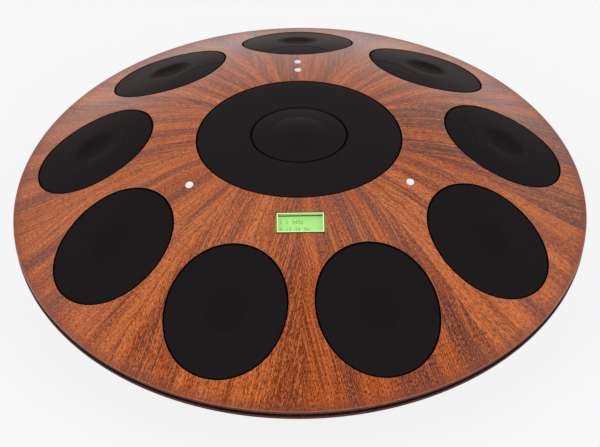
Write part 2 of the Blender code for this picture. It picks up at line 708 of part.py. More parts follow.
def panel_face():
    """Place of the bay's socket wall, outer face, and the height at which its sockets clear the bowl."""
    face = LOWER_RADIUS - BAY_DEPTH + BAY_WALL
    floor = bowl_height(math.hypot(SOCKET_PITCH, face - BAY_WALL)) + LOWER_WALL
    return face, floor + SOCKET_LIFT + PHONES_BODY_RADIUS


def connector_bay():
    """Moulded pocket in the back of the bowl, trimmed flush with it, with an upright socket wall."""
    low, high = bay_box(0.0)
    bay = add_part("connector_bay", block("connector_bay", high - low, (low + high) / 2), BAY_PLASTIC)
    inner_low = low + Vector((BAY_WALL, BAY_WALL, -BAY_WALL))
    inner_high = high + Vector((-BAY_WALL, BAY_WALL, -BAY_WALL))
    hollow = block("bay_hollow", inner_high - inner_low, (inner_low + inner_high) / 2)
    combine(bay, add_cutter("bay_hollow", hollow, Matrix()), 'DIFFERENCE')
    bowl = [(0.0, UPPER_RIM), (LOWER_RADIUS, UPPER_RIM)] + bowl_profile(0.0)
    inside = turned("bowl_inside", bowl, LOWER_STEPS, closed=False)
    combine(bay, add_cutter("bowl_inside", inside, Matrix()), 'INTERSECT')
    face, height = panel_face()
    through = 4 * BAY_WALL
    phones_hole = drum("phones_hole", PHONES_RADIUS + GAP, -through, through, SMALL_STEPS)
    lie_back = Matrix.Rotation(math.radians(90), 4, 'X')
    phones_place = Matrix.Translation((-SOCKET_PITCH, face, height)) @ lie_back
    combine(bay, add_cutter("phones_hole", phones_hole, phones_place), 'DIFFERENCE')
    usb_hole = block("usb_hole", (USB_WIDTH + 2 * GAP, through, USB_HEIGHT + 2 * GAP), (0.0, face, height))
    combine(bay, add_cutter("usb_hole", usb_hole, Matrix()), 'DIFFERENCE')
    rocker_size = (ROCKER_WIDTH + 2 * HOLE_GAP, through, ROCKER_HEIGHT + 2 * HOLE_GAP)
    rocker_hole = block("rocker_hole", rocker_size, (SOCKET_PITCH, face, height))
    combine(bay, add_cutter("rocker_hole", rocker_hole, Matrix()), 'DIFFERENCE')


def phones_socket():
    """Round headphone socket whose body stands behind the bay's wall."""
    face, height = panel_face()
    behind = BAY_WALL + GAP
    profile = [
        (0.0, -PHONES_DEPTH),
        (PHONES_BORE, -PHONES_DEPTH),
        (PHONES_BORE, PHONES_NOSE),
        (PHONES_RADIUS, PHONES_NOSE),
        (PHONES_RADIUS, -behind),
        (PHONES_BODY_RADIUS, -behind),
        (PHONES_BODY_RADIUS, -behind - PHONES_DEPTH),
        (0.0, -behind - PHONES_DEPTH),
    ]
    mesh = turned("phones_socket", profile, SMALL_STEPS, closed=False)
    socket = add_part("phones_socket", mesh, SOCKET_PLASTIC)
    socket.location = (-SOCKET_PITCH, face, height)
    socket.rotation_euler = (math.radians(-90), 0.0, 0.0)


def usb_socket():
    """Flat charging socket: a thin shell with a tongue in its middle."""
    face, height = panel_face()
    shell = block("usb_socket", (USB_WIDTH, USB_DEPTH, USB_HEIGHT), (0.0, -USB_DEPTH / 2, 0.0))
    socket = add_part("usb_socket", shell, SOCKET_STEEL)
    socket.location = (0.0, face, height)
    place = Matrix.Translation(socket.location)
    hollow_size = (USB_WIDTH - 2 * USB_WALL, USB_DEPTH, USB_HEIGHT - 2 * USB_WALL)
    hollow = block("usb_hollow", hollow_size, (0.0, 2 * USB_WALL - USB_DEPTH / 2, 0.0))
    combine(socket, add_cutter("usb_hollow", hollow, place), 'DIFFERENCE')
    tongue_size = (USB_WIDTH - 6 * USB_WALL, USB_DEPTH - 4 * USB_WALL, USB_TONGUE)
    tongue = block("usb_tongue", tongue_size, (0.0, USB_WALL - USB_DEPTH + tongue_size[1] / 2, 0.0))
    combine(socket, add_cutter("usb_tongue", tongue, place), 'UNION')


def power_switch():
    """Rocker that turns about a pivot behind the bay's wall, drawn with its lower half pressed in."""
    face, height = panel_face()
    build = bmesh.new()
    half = ROCKER_HEIGHT / 2 - HOLE_GAP
    rise = half * math.tan(math.radians(ROCKER_TILT))
    outline = [(0.0, half), (-ROCKER_DEPTH, half / 2), (-ROCKER_DEPTH, -half / 2), (0.0, -half), (-rise, 0.0)]
    ring = [build.verts.new((-ROCKER_WIDTH / 2, y + rise, z)) for y, z in outline]
    side = build.faces.new(ring)
    grown = bmesh.ops.extrude_face_region(build, geom=[side])
    moved = [item for item in grown["geom"] if isinstance(item, bmesh.types.BMVert)]
    bmesh.ops.translate(build, verts=moved, vec=(ROCKER_WIDTH, 0.0, 0.0))
    bmesh.ops.recalc_face_normals(build, faces=build.faces)
    mesh = bpy.data.meshes.new("power_switch")
    build.to_mesh(mesh)
    build.free()
    rocker = add_part("power_switch", mesh, ROCKER_PLASTIC)
    rocker.location = (SOCKET_PITCH, face, height)
    rocker.rotation_euler = (math.radians(-ROCKER_TILT), 0.0, 0.0)


def board_corners():
    """Plan places of the main board's four standoffs."""
    x = MAIN_BOARD_X / 2 - MAIN_BOARD_INSET
    y = MAIN_BOARD_Y / 2 - MAIN_BOARD_INSET
    return [(i * x, MAIN_BOARD_CENTRE_Y + j * y) for i in (-1, 1) for j in (-1, 1)]


def main_board():
    """Circuit board on its standoffs, with its larger chips."""
    low = FLOOR + STANDOFF_HEIGHT + GAP
    plate = block("main_board", (MAIN_BOARD_X, MAIN_BOARD_Y, BOARD_WALL), (0.0, 0.0, BOARD_WALL / 2))
    board = add_part("main_board", plate, BOARD_GREEN)
    board.location = (0.0, MAIN_BOARD_CENTRE_Y, low)
    root = BOARD_WALL / 2
    chip_top = BOARD_WALL + CHIP_HEIGHT
    chip = block("chip", (CHIP_SIDE, CHIP_SIDE, chip_top - root), (0.0, 0.0, (chip_top + root) / 2))
    for index, side in enumerate((-1, 0, 1)):
        place = Matrix.Translation((side * CHIP_PITCH, MAIN_BOARD_CENTRE_Y, low))
        combine(board, add_cutter(f"chip_{index + 1}", chip, place), 'UNION')


def battery_pack():
    mesh = block("battery_pack", (BATTERY_X, BATTERY_Y, BATTERY_Z), (0.0, 0.0, BATTERY_Z / 2), BATTERY_CORNER)
    battery = add_part("battery_pack", mesh, BATTERY_WRAP)
    battery.location = (0.0, BATTERY_CENTRE_Y, FLOOR + GAP)


top_shell()
strike_pads()
centre_pads()
sensor_deck()
rim_gasket()
lower_shell()
feet()
display()
buttons()
speakers()
connector_bay()
phones_socket()
usb_socket()
power_switch()
main_board()
battery_pack()
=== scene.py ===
"""Looks of an electronic handpan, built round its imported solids.

Lengths are in metres. +Z is up, the player sits on the -Y side, and the pan stands on its feet at z = 0.
The wooden top, the pads and their foams follow one dome, so they are drawn flat and draped on it.
"""

import json
import math
from math import cos, hypot, pi, radians, sin

import bmesh
import bpy
from mathutils import Matrix, Vector
from mathutils.geometry import delaunay_2d_cdt

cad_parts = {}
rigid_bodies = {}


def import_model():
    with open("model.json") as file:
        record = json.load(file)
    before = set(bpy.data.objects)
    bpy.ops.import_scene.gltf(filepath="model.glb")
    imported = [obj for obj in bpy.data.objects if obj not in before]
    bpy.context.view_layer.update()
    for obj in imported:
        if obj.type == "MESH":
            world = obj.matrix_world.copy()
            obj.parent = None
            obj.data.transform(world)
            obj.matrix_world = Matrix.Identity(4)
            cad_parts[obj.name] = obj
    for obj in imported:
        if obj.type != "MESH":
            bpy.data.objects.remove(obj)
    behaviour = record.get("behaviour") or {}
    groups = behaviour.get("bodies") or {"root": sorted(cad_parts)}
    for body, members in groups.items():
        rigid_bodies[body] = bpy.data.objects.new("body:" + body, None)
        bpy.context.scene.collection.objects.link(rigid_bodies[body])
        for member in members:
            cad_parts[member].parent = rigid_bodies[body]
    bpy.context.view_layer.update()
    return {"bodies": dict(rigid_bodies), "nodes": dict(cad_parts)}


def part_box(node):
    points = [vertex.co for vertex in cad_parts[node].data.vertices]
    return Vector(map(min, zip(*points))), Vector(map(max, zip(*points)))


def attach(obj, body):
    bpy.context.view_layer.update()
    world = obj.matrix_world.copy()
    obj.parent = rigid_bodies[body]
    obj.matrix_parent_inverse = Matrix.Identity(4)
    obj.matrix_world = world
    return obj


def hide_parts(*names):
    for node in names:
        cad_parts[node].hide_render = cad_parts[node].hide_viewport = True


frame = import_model()

MM = 0.001
SIDES = ("left", "right")

# Sizes read from the solids
TOP_LOW, TOP_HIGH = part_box("top_shell")
LOWER_LOW, LOWER_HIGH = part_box("bottom_shell")
BAY_LOW, BAY_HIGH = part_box("connector_bay")
PHONES_LOW, PHONES_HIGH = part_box("phones_socket")
USB_LOW, USB_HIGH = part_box("usb_socket")
GASKET_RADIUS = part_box("rim_gasket")[1].x
PAN_RADIUS = TOP_HIGH.x
UPPER_RIM = TOP_LOW.z
LOWER_RADIUS = LOWER_HIGH.x
LOWER_RIM = LOWER_HIGH.z
BASE = LOWER_LOW.z

# Sizes shared with the solids: the dome, and the wood left between its openings
DOME_RISE = 81.3 * MM
DOME_FULLNESS = 0.58
DOME_FLARE = -0.94
TOP_WALL = 3.3 * MM
RIM_BAND = 17.2 * MM
PAD_BRIDGE = 21.8 * MM
CONTROL_BAND = 41.9 * MM

# Shared: the pads and the foam under them
PAD_COUNT = 9
PAD_GROOVE = 1.5 * MM
PAD_SET = 0.4 * MM
PAD_EDGE = 0.8 * MM
PAD_FLANGE = 3.0 * MM
PAD_FLANGE_WALL = 1.6 * MM
CENTRE_HALF_X = 91.9 * MM
CENTRE_HALF_Y = 80.5 * MM
BOSS_HALF_X = 43.3 * MM
BOSS_RISE = 3.0 * MM
BOSS_CAP_HALF_X = 24.5 * MM
BOSS_CAP_RISE = 2.0 * MM
FOAM_HEIGHT = 3.6 * MM
FOAM_WIDTH = 7.0 * MM
CURVED_GAP = 0.6 * MM
GAP = 0.3 * MM
HOLE_GAP = 0.4 * MM

# Shared: the lower shell
BOWL_DEPTH = 49.2 * MM
BOWL_FLAT = 150 * MM
BOWL_POWER = 1.6
LOWER_WALL = 4.0 * MM
LOWER_LAND = 16.0 * MM

# Shared: the display and the buttons
DISPLAY_SETBACK = 26.2 * MM
WINDOW_WIDTH = 43.0 * MM
WINDOW_LENGTH = 22.5 * MM
WINDOW_CORNER = 1.2 * MM
WINDOW_SET = 0.5 * MM
WINDOW_WALL = 2.0 * MM
FRAME_BORDER = 1.8 * MM
FRAME_HEIGHT = 2.0 * MM
MODULE_BORDER_X = 6.5 * MM
MODULE_BORDER_Y = 4.8 * MM
SIDE_BUTTON_RADIUS = 3.65 * MM
SIDE_BUTTON_ANGLE = radians(30)
BACK_BUTTON_RADIUS = 3.15 * MM
BACK_BUTTON_PITCH = 17.1 * MM
BACK_BUTTON_SETBACK = 27.5 * MM
BUTTON_PROUD = 0.4 * MM
BUTTON_FLANGE = 1.4 * MM
BUTTON_FLANGE_WALL = 1.0 * MM
BUTTON_STEM_RADIUS = 1.5 * MM
BUTTON_STEM = 0.8 * MM

# Shared: the bay's sockets, the speakers and the board's posts
BAY_WALL = 2.5 * MM
PHONES_RING = 3.8 * MM
PHONES_BORE = 1.8 * MM
PHONES_DEPTH = 14.0 * MM
PHONES_NOSE = 1.0 * MM
ROCKER_WIDTH = 13.0 * MM
ROCKER_HEIGHT = 8.6 * MM
ROCKER_DEPTH = 9.0 * MM
ROCKER_TILT = radians(7)
SPEAKER_LIP = 2.5 * MM
MAGNET_RADIUS = 21 * MM
MAGNET_HEIGHT = 13 * MM
CONE_RADIUS = 30 * MM
CONE_DEPTH = 11 * MM
CONE_CAP_RADIUS = 10 * MM
GRILLE_HOLE = 5.2 * MM
GRILLE_PITCH = 13.4 * MM
STANDOFF_RADIUS = 4.5 * MM
BOARD_INSET = 7.0 * MM

# Finer forms that only the looks have: roundings and steps from slight to full, edges, pads and fittings
HAIR = 0.1 * MM
FINE = 0.2 * MM
SOFT = 0.3 * MM
FULL = 0.5 * MM
WOOD_EDGE = 0.4 * MM
RIM_EDGE = 0.9 * MM
LOWER_EDGE = 0.6 * MM
RIM_GUARDS = (0.8 * MM, 2.5 * MM)
EDGE_GUARDS = (0.7 * MM, 2.0 * MM)
PAD_GUARDS = (0.6 * MM, 1.4 * MM)
LAND_STEP = 0.2 * MM
GASKET_RIB = 0.25 * MM
LIP_RADIUS = 25.6 * MM
LIP_WIDTH = 2.0 * MM
LIP_DEPTH = 0.22 * MM
DIMPLE_RADIUS = 21.5 * MM
DIMPLE_FLOOR = 6.0 * MM
DIMPLE_DEPTH = 3.8 * MM
CREASE_DEPTH = 0.35 * MM
CREASE_HALF = 0.5 * MM
CREASE_RADIUS = 36.0 * MM
CREASE_CENTRE = -64.5 * MM
CREASE_ROWS = (-1.1, -0.7, -0.45, -0.2, 0.0, 0.2, 0.45, 0.7, 1.1)
CREASE_CLEAR = 2.8 * MM
FOAM_SLACK = 0.45 * MM
FOAM_EDGE = 0.7 * MM
PRINT_BORDER = 2.0 * MM
BUTTON_DISH = 0.35 * MM
DOT = 0.39 * MM
DOT_PITCH_X = 0.41 * MM
DOT_PITCH_Y = 0.50 * MM
DIGIT_PITCH = 2.6 * MM
DIGIT_START = -17.6 * MM
CONE_RECESS = 0.5 * MM
ROLL_MIDDLE = CONE_RADIUS + 2.6 * MM
ROLL_HALF = 2.4 * MM
ROLL_RISE = 1.7 * MM
DUST_CAP_RISE = 3.4 * MM
GRILLE_EDGE = 0.4 * MM
GRILLE_GUARD = 0.6 * MM
USB_WALL = 0.35 * MM
USB_CONTACTS = 8
USB_CONTACT_PITCH = 0.7 * MM
MARK_LOW = -0.05 * MM
MARK_HIGH = 0.06 * MM
SCREW_RADIUS = 3.0 * MM
RIM_SCREW_CIRCLE = LOWER_RADIUS - 9.5 * MM

# Layout worked out from the sizes above
PAD_OUTER = PAN_RADIUS - RIM_BAND
PAD_INNER = CENTRE_HALF_X + CONTROL_BAND
PAD_CIRCLE = (PAD_OUTER + PAD_INNER) / 2
PAD_HALF_RADIAL = (PAD_OUTER - PAD_INNER) / 2
PAD_HALF_ACROSS = PAD_CIRCLE * sin(pi / PAD_COUNT) - PAD_BRIDGE / 2
PAD_SHAPE = PAD_HALF_RADIAL / PAD_HALF_ACROSS
PAD_RIM = PAD_HALF_ACROSS - PAD_GROOVE
CENTRE_SHAPE = CENTRE_HALF_Y / CENTRE_HALF_X
DISPLAY_CENTRE = CENTRE_HALF_Y + DISPLAY_SETBACK
BACK_BUTTON_CENTRE = CENTRE_HALF_Y + BACK_BUTTON_SETBACK
LEAF_ANGLE = 2 * pi / PAD_COUNT
RIM_TOP = UPPER_RIM + TOP_WALL
RIM_LAND = GASKET_RADIUS - 7.5 * MM
FLANGE_TOP = TOP_WALL + CURVED_GAP
PAD_BOTTOM = FLANGE_TOP + PAD_FLANGE_WALL
FOAM_TOP = PAD_BOTTOM + CURVED_GAP
FOAM_BOTTOM = FOAM_TOP + FOAM_HEIGHT
DECK_TOP = FOAM_BOTTOM + CURVED_GAP

# Mesh attribute that marks eased wooden edges, where a pale painted highlight and wear go, and the number
# that picks the tones of the veneer's leaves
EDGE_HIGHLIGHT_AND_WEAR = "edge_highlight_and_wear"
LEAF_SEED = 69

# Fineness of the meshes
PAD_STEPS = 120
CENTRE_STEPS = 168
RIM_STEPS = 288
RING_STEPS = 96
ROUND_STEPS = 48
SMALL_STEPS = 40
GRID = 5.0 * MM
ROUND_ANGLES = [radians(angle) for angle in (0, 22.5, 45, 67.5, 90)]


def dome_height(radius):
    """Height of the wooden top's face at a distance from the middle."""
    share = (radius / PAN_RADIUS) ** 2
    return RIM_TOP + DOME_RISE * (1 - share) * (1 + DOME_FULLNESS * share + DOME_FLARE * share ** 2)


def over_dome(x, y, seat):
    """Height of the dome at a plan point round a seat, over the seat's own height."""
    return dome_height(hypot(seat + x, y)) - dome_height(seat)


def bowl_height(radius):
    """Height of the lower shell's outer face."""
    reach = max(0.0, radius - BOWL_FLAT) / (LOWER_RADIUS - BOWL_FLAT)
    return BASE + BOWL_DEPTH * reach ** BOWL_POWER


def slope_of(height_at, radius, step=0.01 * MM):
    return (height_at(radius + step) - height_at(radius - step)) / (2 * step)


def square_depth(depth, radius):
    """Depth square to the dome for a depth measured straight down."""
    return depth / hypot(1.0, slope_of(dome_height, radius))


def at(x, y, z):
    return Matrix.Translation((x, y, z))


def face_frame(height_at, radius, angle):
    """Frame on a turned face: local Z is square to it, local Y points towards the axis, along the face."""
    outward = Vector((cos(angle), sin(angle), 0.0))
    across = Vector((-sin(angle), cos(angle), 0.0))
    square = (Vector((0.0, 0.0, 1.0)) - outward * slope_of(height_at, radius)).normalized()
    matrix = Matrix((across, square.cross(across), square)).transposed().to_4x4()
    matrix.translation = outward * radius + Vector((0.0, 0.0, height_at(radius)))
    return matrix


def pad_frame(index):
    """Frame at a strike pad's middle: local X points outwards, and local Z is upright."""
    angle = radians(90) + LEAF_ANGLE * index
    place = (PAD_CIRCLE * cos(angle), PAD_CIRCLE * sin(angle), dome_height(PAD_CIRCLE))
    return at(*place) @ Matrix.Rotation(angle, 4, 'Z')


def centre_opening(angle):
    """Distance from the middle to the edge of the oval opening."""
    return 1 / hypot(cos(angle) / CENTRE_HALF_X, sin(angle) / CENTRE_HALF_Y)


CENTRE_FRAME = at(0.0, 0.0, dome_height(0.0))
DISPLAY_FRAME = face_frame(dome_height, DISPLAY_CENTRE, radians(270))
BACK_FRAME = face_frame(dome_height, BACK_BUTTON_CENTRE, radians(90))
SIDE_BUTTON_CIRCLE = (centre_opening(SIDE_BUTTON_ANGLE) + PAD_INNER) / 2
BUTTONS = {
    "button_left": (face_frame(dome_height, SIDE_BUTTON_CIRCLE, pi + SIDE_BUTTON_ANGLE), SIDE_BUTTON_RADIUS),
    "button_right": (face_frame(dome_height, SIDE_BUTTON_CIRCLE, -SIDE_BUTTON_ANGLE), SIDE_BUTTON_RADIUS),
    "button_back_inner": (BACK_FRAME @ at(0, BACK_BUTTON_PITCH / 2, 0), BACK_BUTTON_RADIUS),
    "button_back_outer": (BACK_FRAME @ at(0, -BACK_BUTTON_PITCH / 2, 0), BACK_BUTTON_RADIUS),
}
PANEL_FACE = BAY_LOW.y + BAY_WALL
PHONES_PLACE = Vector(((PHONES_LOW.x + PHONES_HIGH.x) / 2, PANEL_FACE, (PHONES_LOW.z + PHONES_HIGH.z) / 2))
USB_PLACE = Vector(((USB_LOW.x + USB_HIGH.x) / 2, PANEL_FACE, (USB_LOW.z + USB_HIGH.z) / 2))
USB_HALF_X = (USB_HIGH.x - USB_LOW.x) / 2
USB_HALF_Z = (USB_HIGH.z - USB_LOW.z) / 2
ROCKER_PLACE = Vector((2 * USB_PLACE.x - PHONES_PLACE.x, PANEL_FACE, PHONES_PLACE.z))
LIE_BACK = Matrix.Rotation(radians(-90), 4, 'X')
TURN_OVER = Matrix.Rotation(pi, 4, 'X')
PHONES_SEAT = at(*PHONES_PLACE) @ LIE_BACK
USB_SEAT = at(*USB_PLACE) @ LIE_BACK


def round_box(node):
    """Middle, radius, lowest and highest point of a node that is round about an upright axis."""
    low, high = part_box(node)
    return (low + high) / 2, (high.x - low.x) / 2, low.z, high.z


def ease(start, end, value):
    """Smooth rise from 0 at start to 1 at end."""
    share = min(1.0, max(0.0, (value - start) / (end - start)))
    return share * share * (3 - 2 * share)


def spread(start, end, count):
    """Evenly spaced values from start to end, both included."""
    return [start + (end - start) * index / (count - 1) for index in range(count)]


def oval(half_x, half_y, steps):
    turns = [2 * pi * index / steps for index in range(steps)]
    return [(half_x * cos(turn), half_y * sin(turn)) for turn in turns]


def rounded_box(half_x, half_y, corner, side_steps=6):
    """Loop round a rectangle with rounded corners, with points along its sides too."""
    arcs = []
    for quarter, (sign_x, sign_y) in enumerate(((1, 1), (-1, 1), (-1, -1), (1, -1))):
        middle = Vector((sign_x * (half_x - corner), sign_y * (half_y - corner)))
        turns = spread(quarter * pi / 2, (quarter + 1) * pi / 2, 7)
        arcs.append([middle + corner * Vector((cos(turn), sin(turn))) for turn in turns])
    loop = []
    for arc, ahead in zip(arcs, arcs[1:] + arcs[:1]):
        loop += arc
        loop += [arc[-1].lerp(ahead[0], step / side_steps) for step in range(1, side_steps)]
    return [tuple(point) for point in loop]


def hexagon(radius, steps):
    """Six-sided loop with the same number of points as a circle of so many steps."""
    loop = []
    for turn in spread(0.0, 2 * pi, steps + 1)[:-1]:
        reach = radius * cos(pi / 6) / cos((turn % (pi / 3)) - pi / 6)
        loop.append((reach * cos(turn), reach * sin(turn)))
    return loop


def ring_at(radius, steps):
    """Function that gives a circle at an offset."""
    return lambda offset: oval(radius + offset, radius + offset, steps)


def box_at(half_x, half_y, corner):
    """Function that gives a box with rounded corners at an offset."""
    return lambda offset: rounded_box(half_x + offset, half_y + offset, corner + offset)


def loops_at(loop_at, profile):
    """Rows of one loop at (offset, height) steps."""
    return [[(x, y, height) for x, y in loop_at(offset)] for offset, height in profile]


def capped(rows, x=0.0, y=0.0):
    """Rows with a tip over (x, y) at each end, level with the row beside it."""
    return [[(x, y, rows[0][0][2])]] + rows + [[(x, y, rows[-1][0][2])]]


def rounded(corners, closed=False, steps=4):
    """Profile through (reach, height, rounding) corners, each turned on a curve of that reach."""
    profile = []
    count = len(corners)
    for index, (x, z, rounding) in enumerate(corners):
        here = Vector((x, z))
        if not rounding or (not closed and index in (0, count - 1)):
            profile.append((x, z))
            continue
        before = Vector(corners[index - 1][:2])
        after = Vector(corners[(index + 1) % count][:2])
        start = here + (before - here).normalized() * rounding
        end = here + (after - here).normalized() * rounding
        for share in spread(0.0, 1.0, steps + 1):
            profile.append(tuple(start.lerp(here, share).lerp(here.lerp(end, share), share)))
    return profile


def add_rows(build, rows, start=None, loop=False):
    """Faces through rows of points. A row of one point is a tip; start is a ring that is already there."""
    rings = [list(start)] if start else []
    rings += [[build.verts.new(point) for point in row] for row in rows]
    for one, two in zip(rings, rings[1:] + rings[:loop]):
        count = max(len(one), len(two))
        for index in range(count):
            after = (index + 1) % count
            corners = [one[index % len(one)], one[after % len(one)]]
            corners += [two[after % len(two)], two[index % len(two)]]
            build.faces.new(list(dict.fromkeys(corners)))


def smoothed(mesh, sharp):
    mesh.shade_smooth()
    mesh.set_sharp_from_angle(angle=radians(sharp))
    return mesh


def to_mesh(build):
    bmesh.ops.recalc_face_normals(build, faces=build.faces)
    mesh = bpy.data.meshes.new("piece")
    build.to_mesh(mesh)
    build.free()
    return smoothed(mesh, 40)


def skinned(rows, loop=False):
    build = bmesh.new()
    add_rows(build, rows, loop=loop)
    return to_mesh(build)


def turned(profile, steps=SMALL_STEPS, closed=False):
    """Mesh of (radius, height) points turned about Z. A point on the axis becomes a tip."""
    rows = []
    for radius, height in profile:
        loop = oval(radius, radius, steps) if radius else [(0.0, 0.0)]
        rows.append([(x, y, height) for x, y in loop])
    return skinned(rows, closed)


def draped_rows(profile, steps, seat, scale_x=1.0, scale_y=1.0):
    """Ovals of (reach, height) points, draped on the dome round a seat at a distance from its middle."""
    rows = []
    for reach, height in profile:
        loop = oval(reach * scale_x, reach * scale_y, steps) if reach else [(0.0, 0.0)]
        rows.append([(x, y, over_dome(x, y, seat) + height) for x, y in loop])
    return rows


class Opening:
    """An opening in a face, drawn in the plan of its own frame: an oval, or a box with rounded corners."""

    def __init__(self, matrix, half_x, half_y, steps, corner=None):
        self.origin = matrix.translation.xy
        self.axis_x = matrix.col[0].xy
        self.axis_y = matrix.col[1].xy
        self.half_x = half_x
        self.half_y = half_y
        self.corner = corner
        self.steps = steps

    def loop(self, offset):
        if self.corner:
            local = rounded_box(self.half_x + offset, self.half_y + offset, self.corner + offset)
        else:
            local = oval(self.half_x + offset, self.half_y + offset, self.steps)
        return [tuple(self.origin + self.axis_x * x + self.axis_y * y) for x, y in local]

    def gap(self, x, y):
        """About how far a plan point lies outside the opening, negative inside."""
        away = Vector((x, y)) - self.origin
        local_x = away.dot(self.axis_x) / self.axis_x.length_squared
        local_y = away.dot(self.axis_y) / self.axis_y.length_squared
        if self.corner:
            return max(abs(local_x) - self.half_x, abs(local_y) - self.half_y)
        share = hypot(local_x / self.half_x, local_y / self.half_y)
        return (share - 1) * min(self.half_x, self.half_y)


class Plan:
    """A flat drawing of lines and points, each with a drop under the face, that is filled with triangles.

    Its walls are the loops where it ends: the outline first, then the holes.
    """

    def __init__(self):
        self.points = []
        self.drops = []
        self.edges = []
        self.walls = []

    def add(self, points, drop=0.0, closed=True):
        """Adds a line of points that stays an edge of the mesh, and returns their numbers."""
        first = len(self.points)
        self.points += points
        self.drops += [drop] * len(points)
        numbers = list(range(first, len(self.points)))
        self.edges += zip(numbers, numbers[1:] + numbers[:closed])
        return numbers

    def add_edge(self, loop_at, rounding, guards, sign=1):
        """Adds a wall with a rounded edge and guard rows beside it; sign is -1 for an outline."""
        rows = []
        for turn in ROUND_ANGLES:
            rows.append(self.add(loop_at(sign * rounding * (1 - cos(turn))), rounding * (1 - sin(turn))))
        for guard in guards:
            self.add(loop_at(sign * (rounding + guard)))
        self.walls.append(rows[0])

    def add_grid(self, reach, pitch, wanted):
        """Close-packed points over a square of that reach, where they are wanted."""
        row_step = pitch * math.sqrt(3) / 2
        rows = int(reach / row_step)
        columns = int(reach / pitch)
        for row in range(-rows, rows + 1):
            for column in range(-columns, columns + 1):
                point = ((column + 0.5 * (row % 2)) * pitch, row * row_step)
                if wanted(*point):
                    self.add([point], closed=False)

    def fill(self):
        """Triangles between the kept edges, without those that lie in a hole, all on one hole's own loop."""
        flat = [Vector((x / MM, y / MM)) for x, y in self.points]
        _, _, faces, origins, _, _ = delaunay_2d_cdt(flat, self.edges, [], 1, 1e-4)
        owner = {number: index for index, loop in enumerate(self.walls[1:]) for number in loop}
        triangles = []
        for face in faces:
            corners = [origins[number][0] for number in face]
            owners = {owner.get(number) for number in corners}
            if len(owners) > 1 or None in owners:
                triangles.append(corners)
        return triangles

    def plate(self, top, bottom, side=1, under_edge=0.4, wall_slots=(0, 0)):
        """Closed mesh between two heights; side is -1 where the rounded edges look down.

        wall_slots are the materials of the first wall and of the others.
        """
        build = bmesh.new()
        highlight_and_wear = build.verts.layers.float.new(EDGE_HIGHLIGHT_AND_WEAR)
        deepest = max(self.drops)
        triangles = self.fill()
        upper = {}
        lower = {}
        for number in sorted({number for corners in triangles for number in corners}):
            x, y = self.points[number]
            drop = side * self.drops[number]
            upper[number] = build.verts.new((x, y, top(x, y) - drop))
            lower[number] = build.verts.new((x, y, bottom(x, y) + under_edge * drop))
            # Eased edge rows are marked for the wood's pale painted highlight and wear
            if drop:
                upper[number][highlight_and_wear] = min(1.0, 3 * abs(drop) / deepest)
        for corners in triangles:
            build.faces.new([upper[number] for number in corners])
            build.faces.new([lower[number] for number in reversed(corners)])
        for order, loop in enumerate(self.walls):
            for here, after in zip(loop, loop[1:] + loop[:1]):
                wall = build.faces.new((upper[here], upper[after], lower[after], lower[here]))
                wall.material_index = wall_slots[min(order, 1)]
        return to_mesh(build)


class Finish:
    """A node tree under construction: a material on one Principled shader, or the world."""

    def __init__(self, owner, constants=None):
        owner.use_nodes = True
        self.owner = owner
        self.nodes = owner.node_tree.nodes
        self.links = owner.node_tree.links
        self.shader = self.nodes.get("Principled BSDF")
        for socket, value in (constants or {}).items():
            self.shader.inputs[socket].default_value = value

    def node(self, kind, inputs=None, **settings):
        """Adds a node and returns its outputs."""
        made = self.nodes.new("ShaderNode" + kind)
        for key, value in settings.items():
            setattr(made, key, value)
        for key, source in (inputs or {}).items():
            self.feed(made.inputs[key], source)
        return made.outputs

    def feed(self, socket, source):
        if isinstance(source, bpy.types.NodeSocket):
            self.links.new(source, socket)
        else:
            socket.default_value = source

    def shade(self, socket, source):
        self.feed(self.shader.inputs[socket], source)

    def place(self):
        return self.node("TexCoord")["Object"]

    def math(self, operation, *sources):
        return self.node("Math", dict(enumerate(sources)), operation=operation)[0]

    def times(self, one, two):
        return self.math('MULTIPLY', one, two)

    def vector(self, operation, *sources):
        return self.node("VectorMath", dict(enumerate(sources)), operation=operation)

    def noise(self, vector, scale, detail=2.0, roughness=0.5):
        inputs = {"Vector": vector, "Scale": scale, "Detail": detail, "Roughness": roughness}
        return self.node("TexNoise", inputs)["Fac"]

    def remap(self, value, low, high, start=0.0, end=1.0):
        inputs = {"Value": value, "From Min": low, "From Max": high, "To Min": start, "To Max": end}
        return self.node("MapRange", inputs, interpolation_type='SMOOTHSTEP')["Result"]

    def ramp(self, factor, *stops):
        colour = self.node("ValToRGB", {"Fac": factor})["Color"]
        elements = colour.node.color_ramp.elements
        while len(elements) < len(stops):
            elements.new(0.5)
        for element, (position, shade) in zip(elements, stops):
            element.position = position
            element.color = (*shade, 1.0)
        return colour

    def mix(self, factor, one, two, blend='MIX'):
        return self.node("Mix", {0: factor, 6: one, 7: two}, data_type='RGBA', blend_type=blend)[2]

    def join(self, factor, one, two):
        return self.node("MixShader", {0: factor, 1: one, 2: two})[0]

    def bump(self, height, strength, distance):
        return self.node("Bump", {"Height": height, "Strength": strength, "Distance": distance})["Normal"]


SPECULAR = "Specular IOR Level"
METAL = "Metallic"


def grained(name, dark, light, roughness, grain, depth, constants=None):
    """Moulded or coated stuff: two close colours, uneven gloss, and a grain, its size and depth in mm."""
    finish = Finish(bpy.data.materials.new(name), constants)
    place = finish.place()
    cloud = finish.noise(place, 0.18 / (grain * MM), 3.0)
    speck = finish.noise(place, 1 / (grain * MM), 2.0, 0.6)
    shade = finish.math('ADD', finish.times(cloud, 0.65), finish.times(speck, 0.35))
    finish.shade("Base Color", finish.ramp(shade, (0.36, dark), (0.64, light)))
    finish.shade("Roughness", finish.remap(cloud, 0.3, 0.7, roughness - 0.06, roughness + 0.06))
    finish.shade("Normal", finish.bump(speck, 0.35, depth * MM))
    return finish


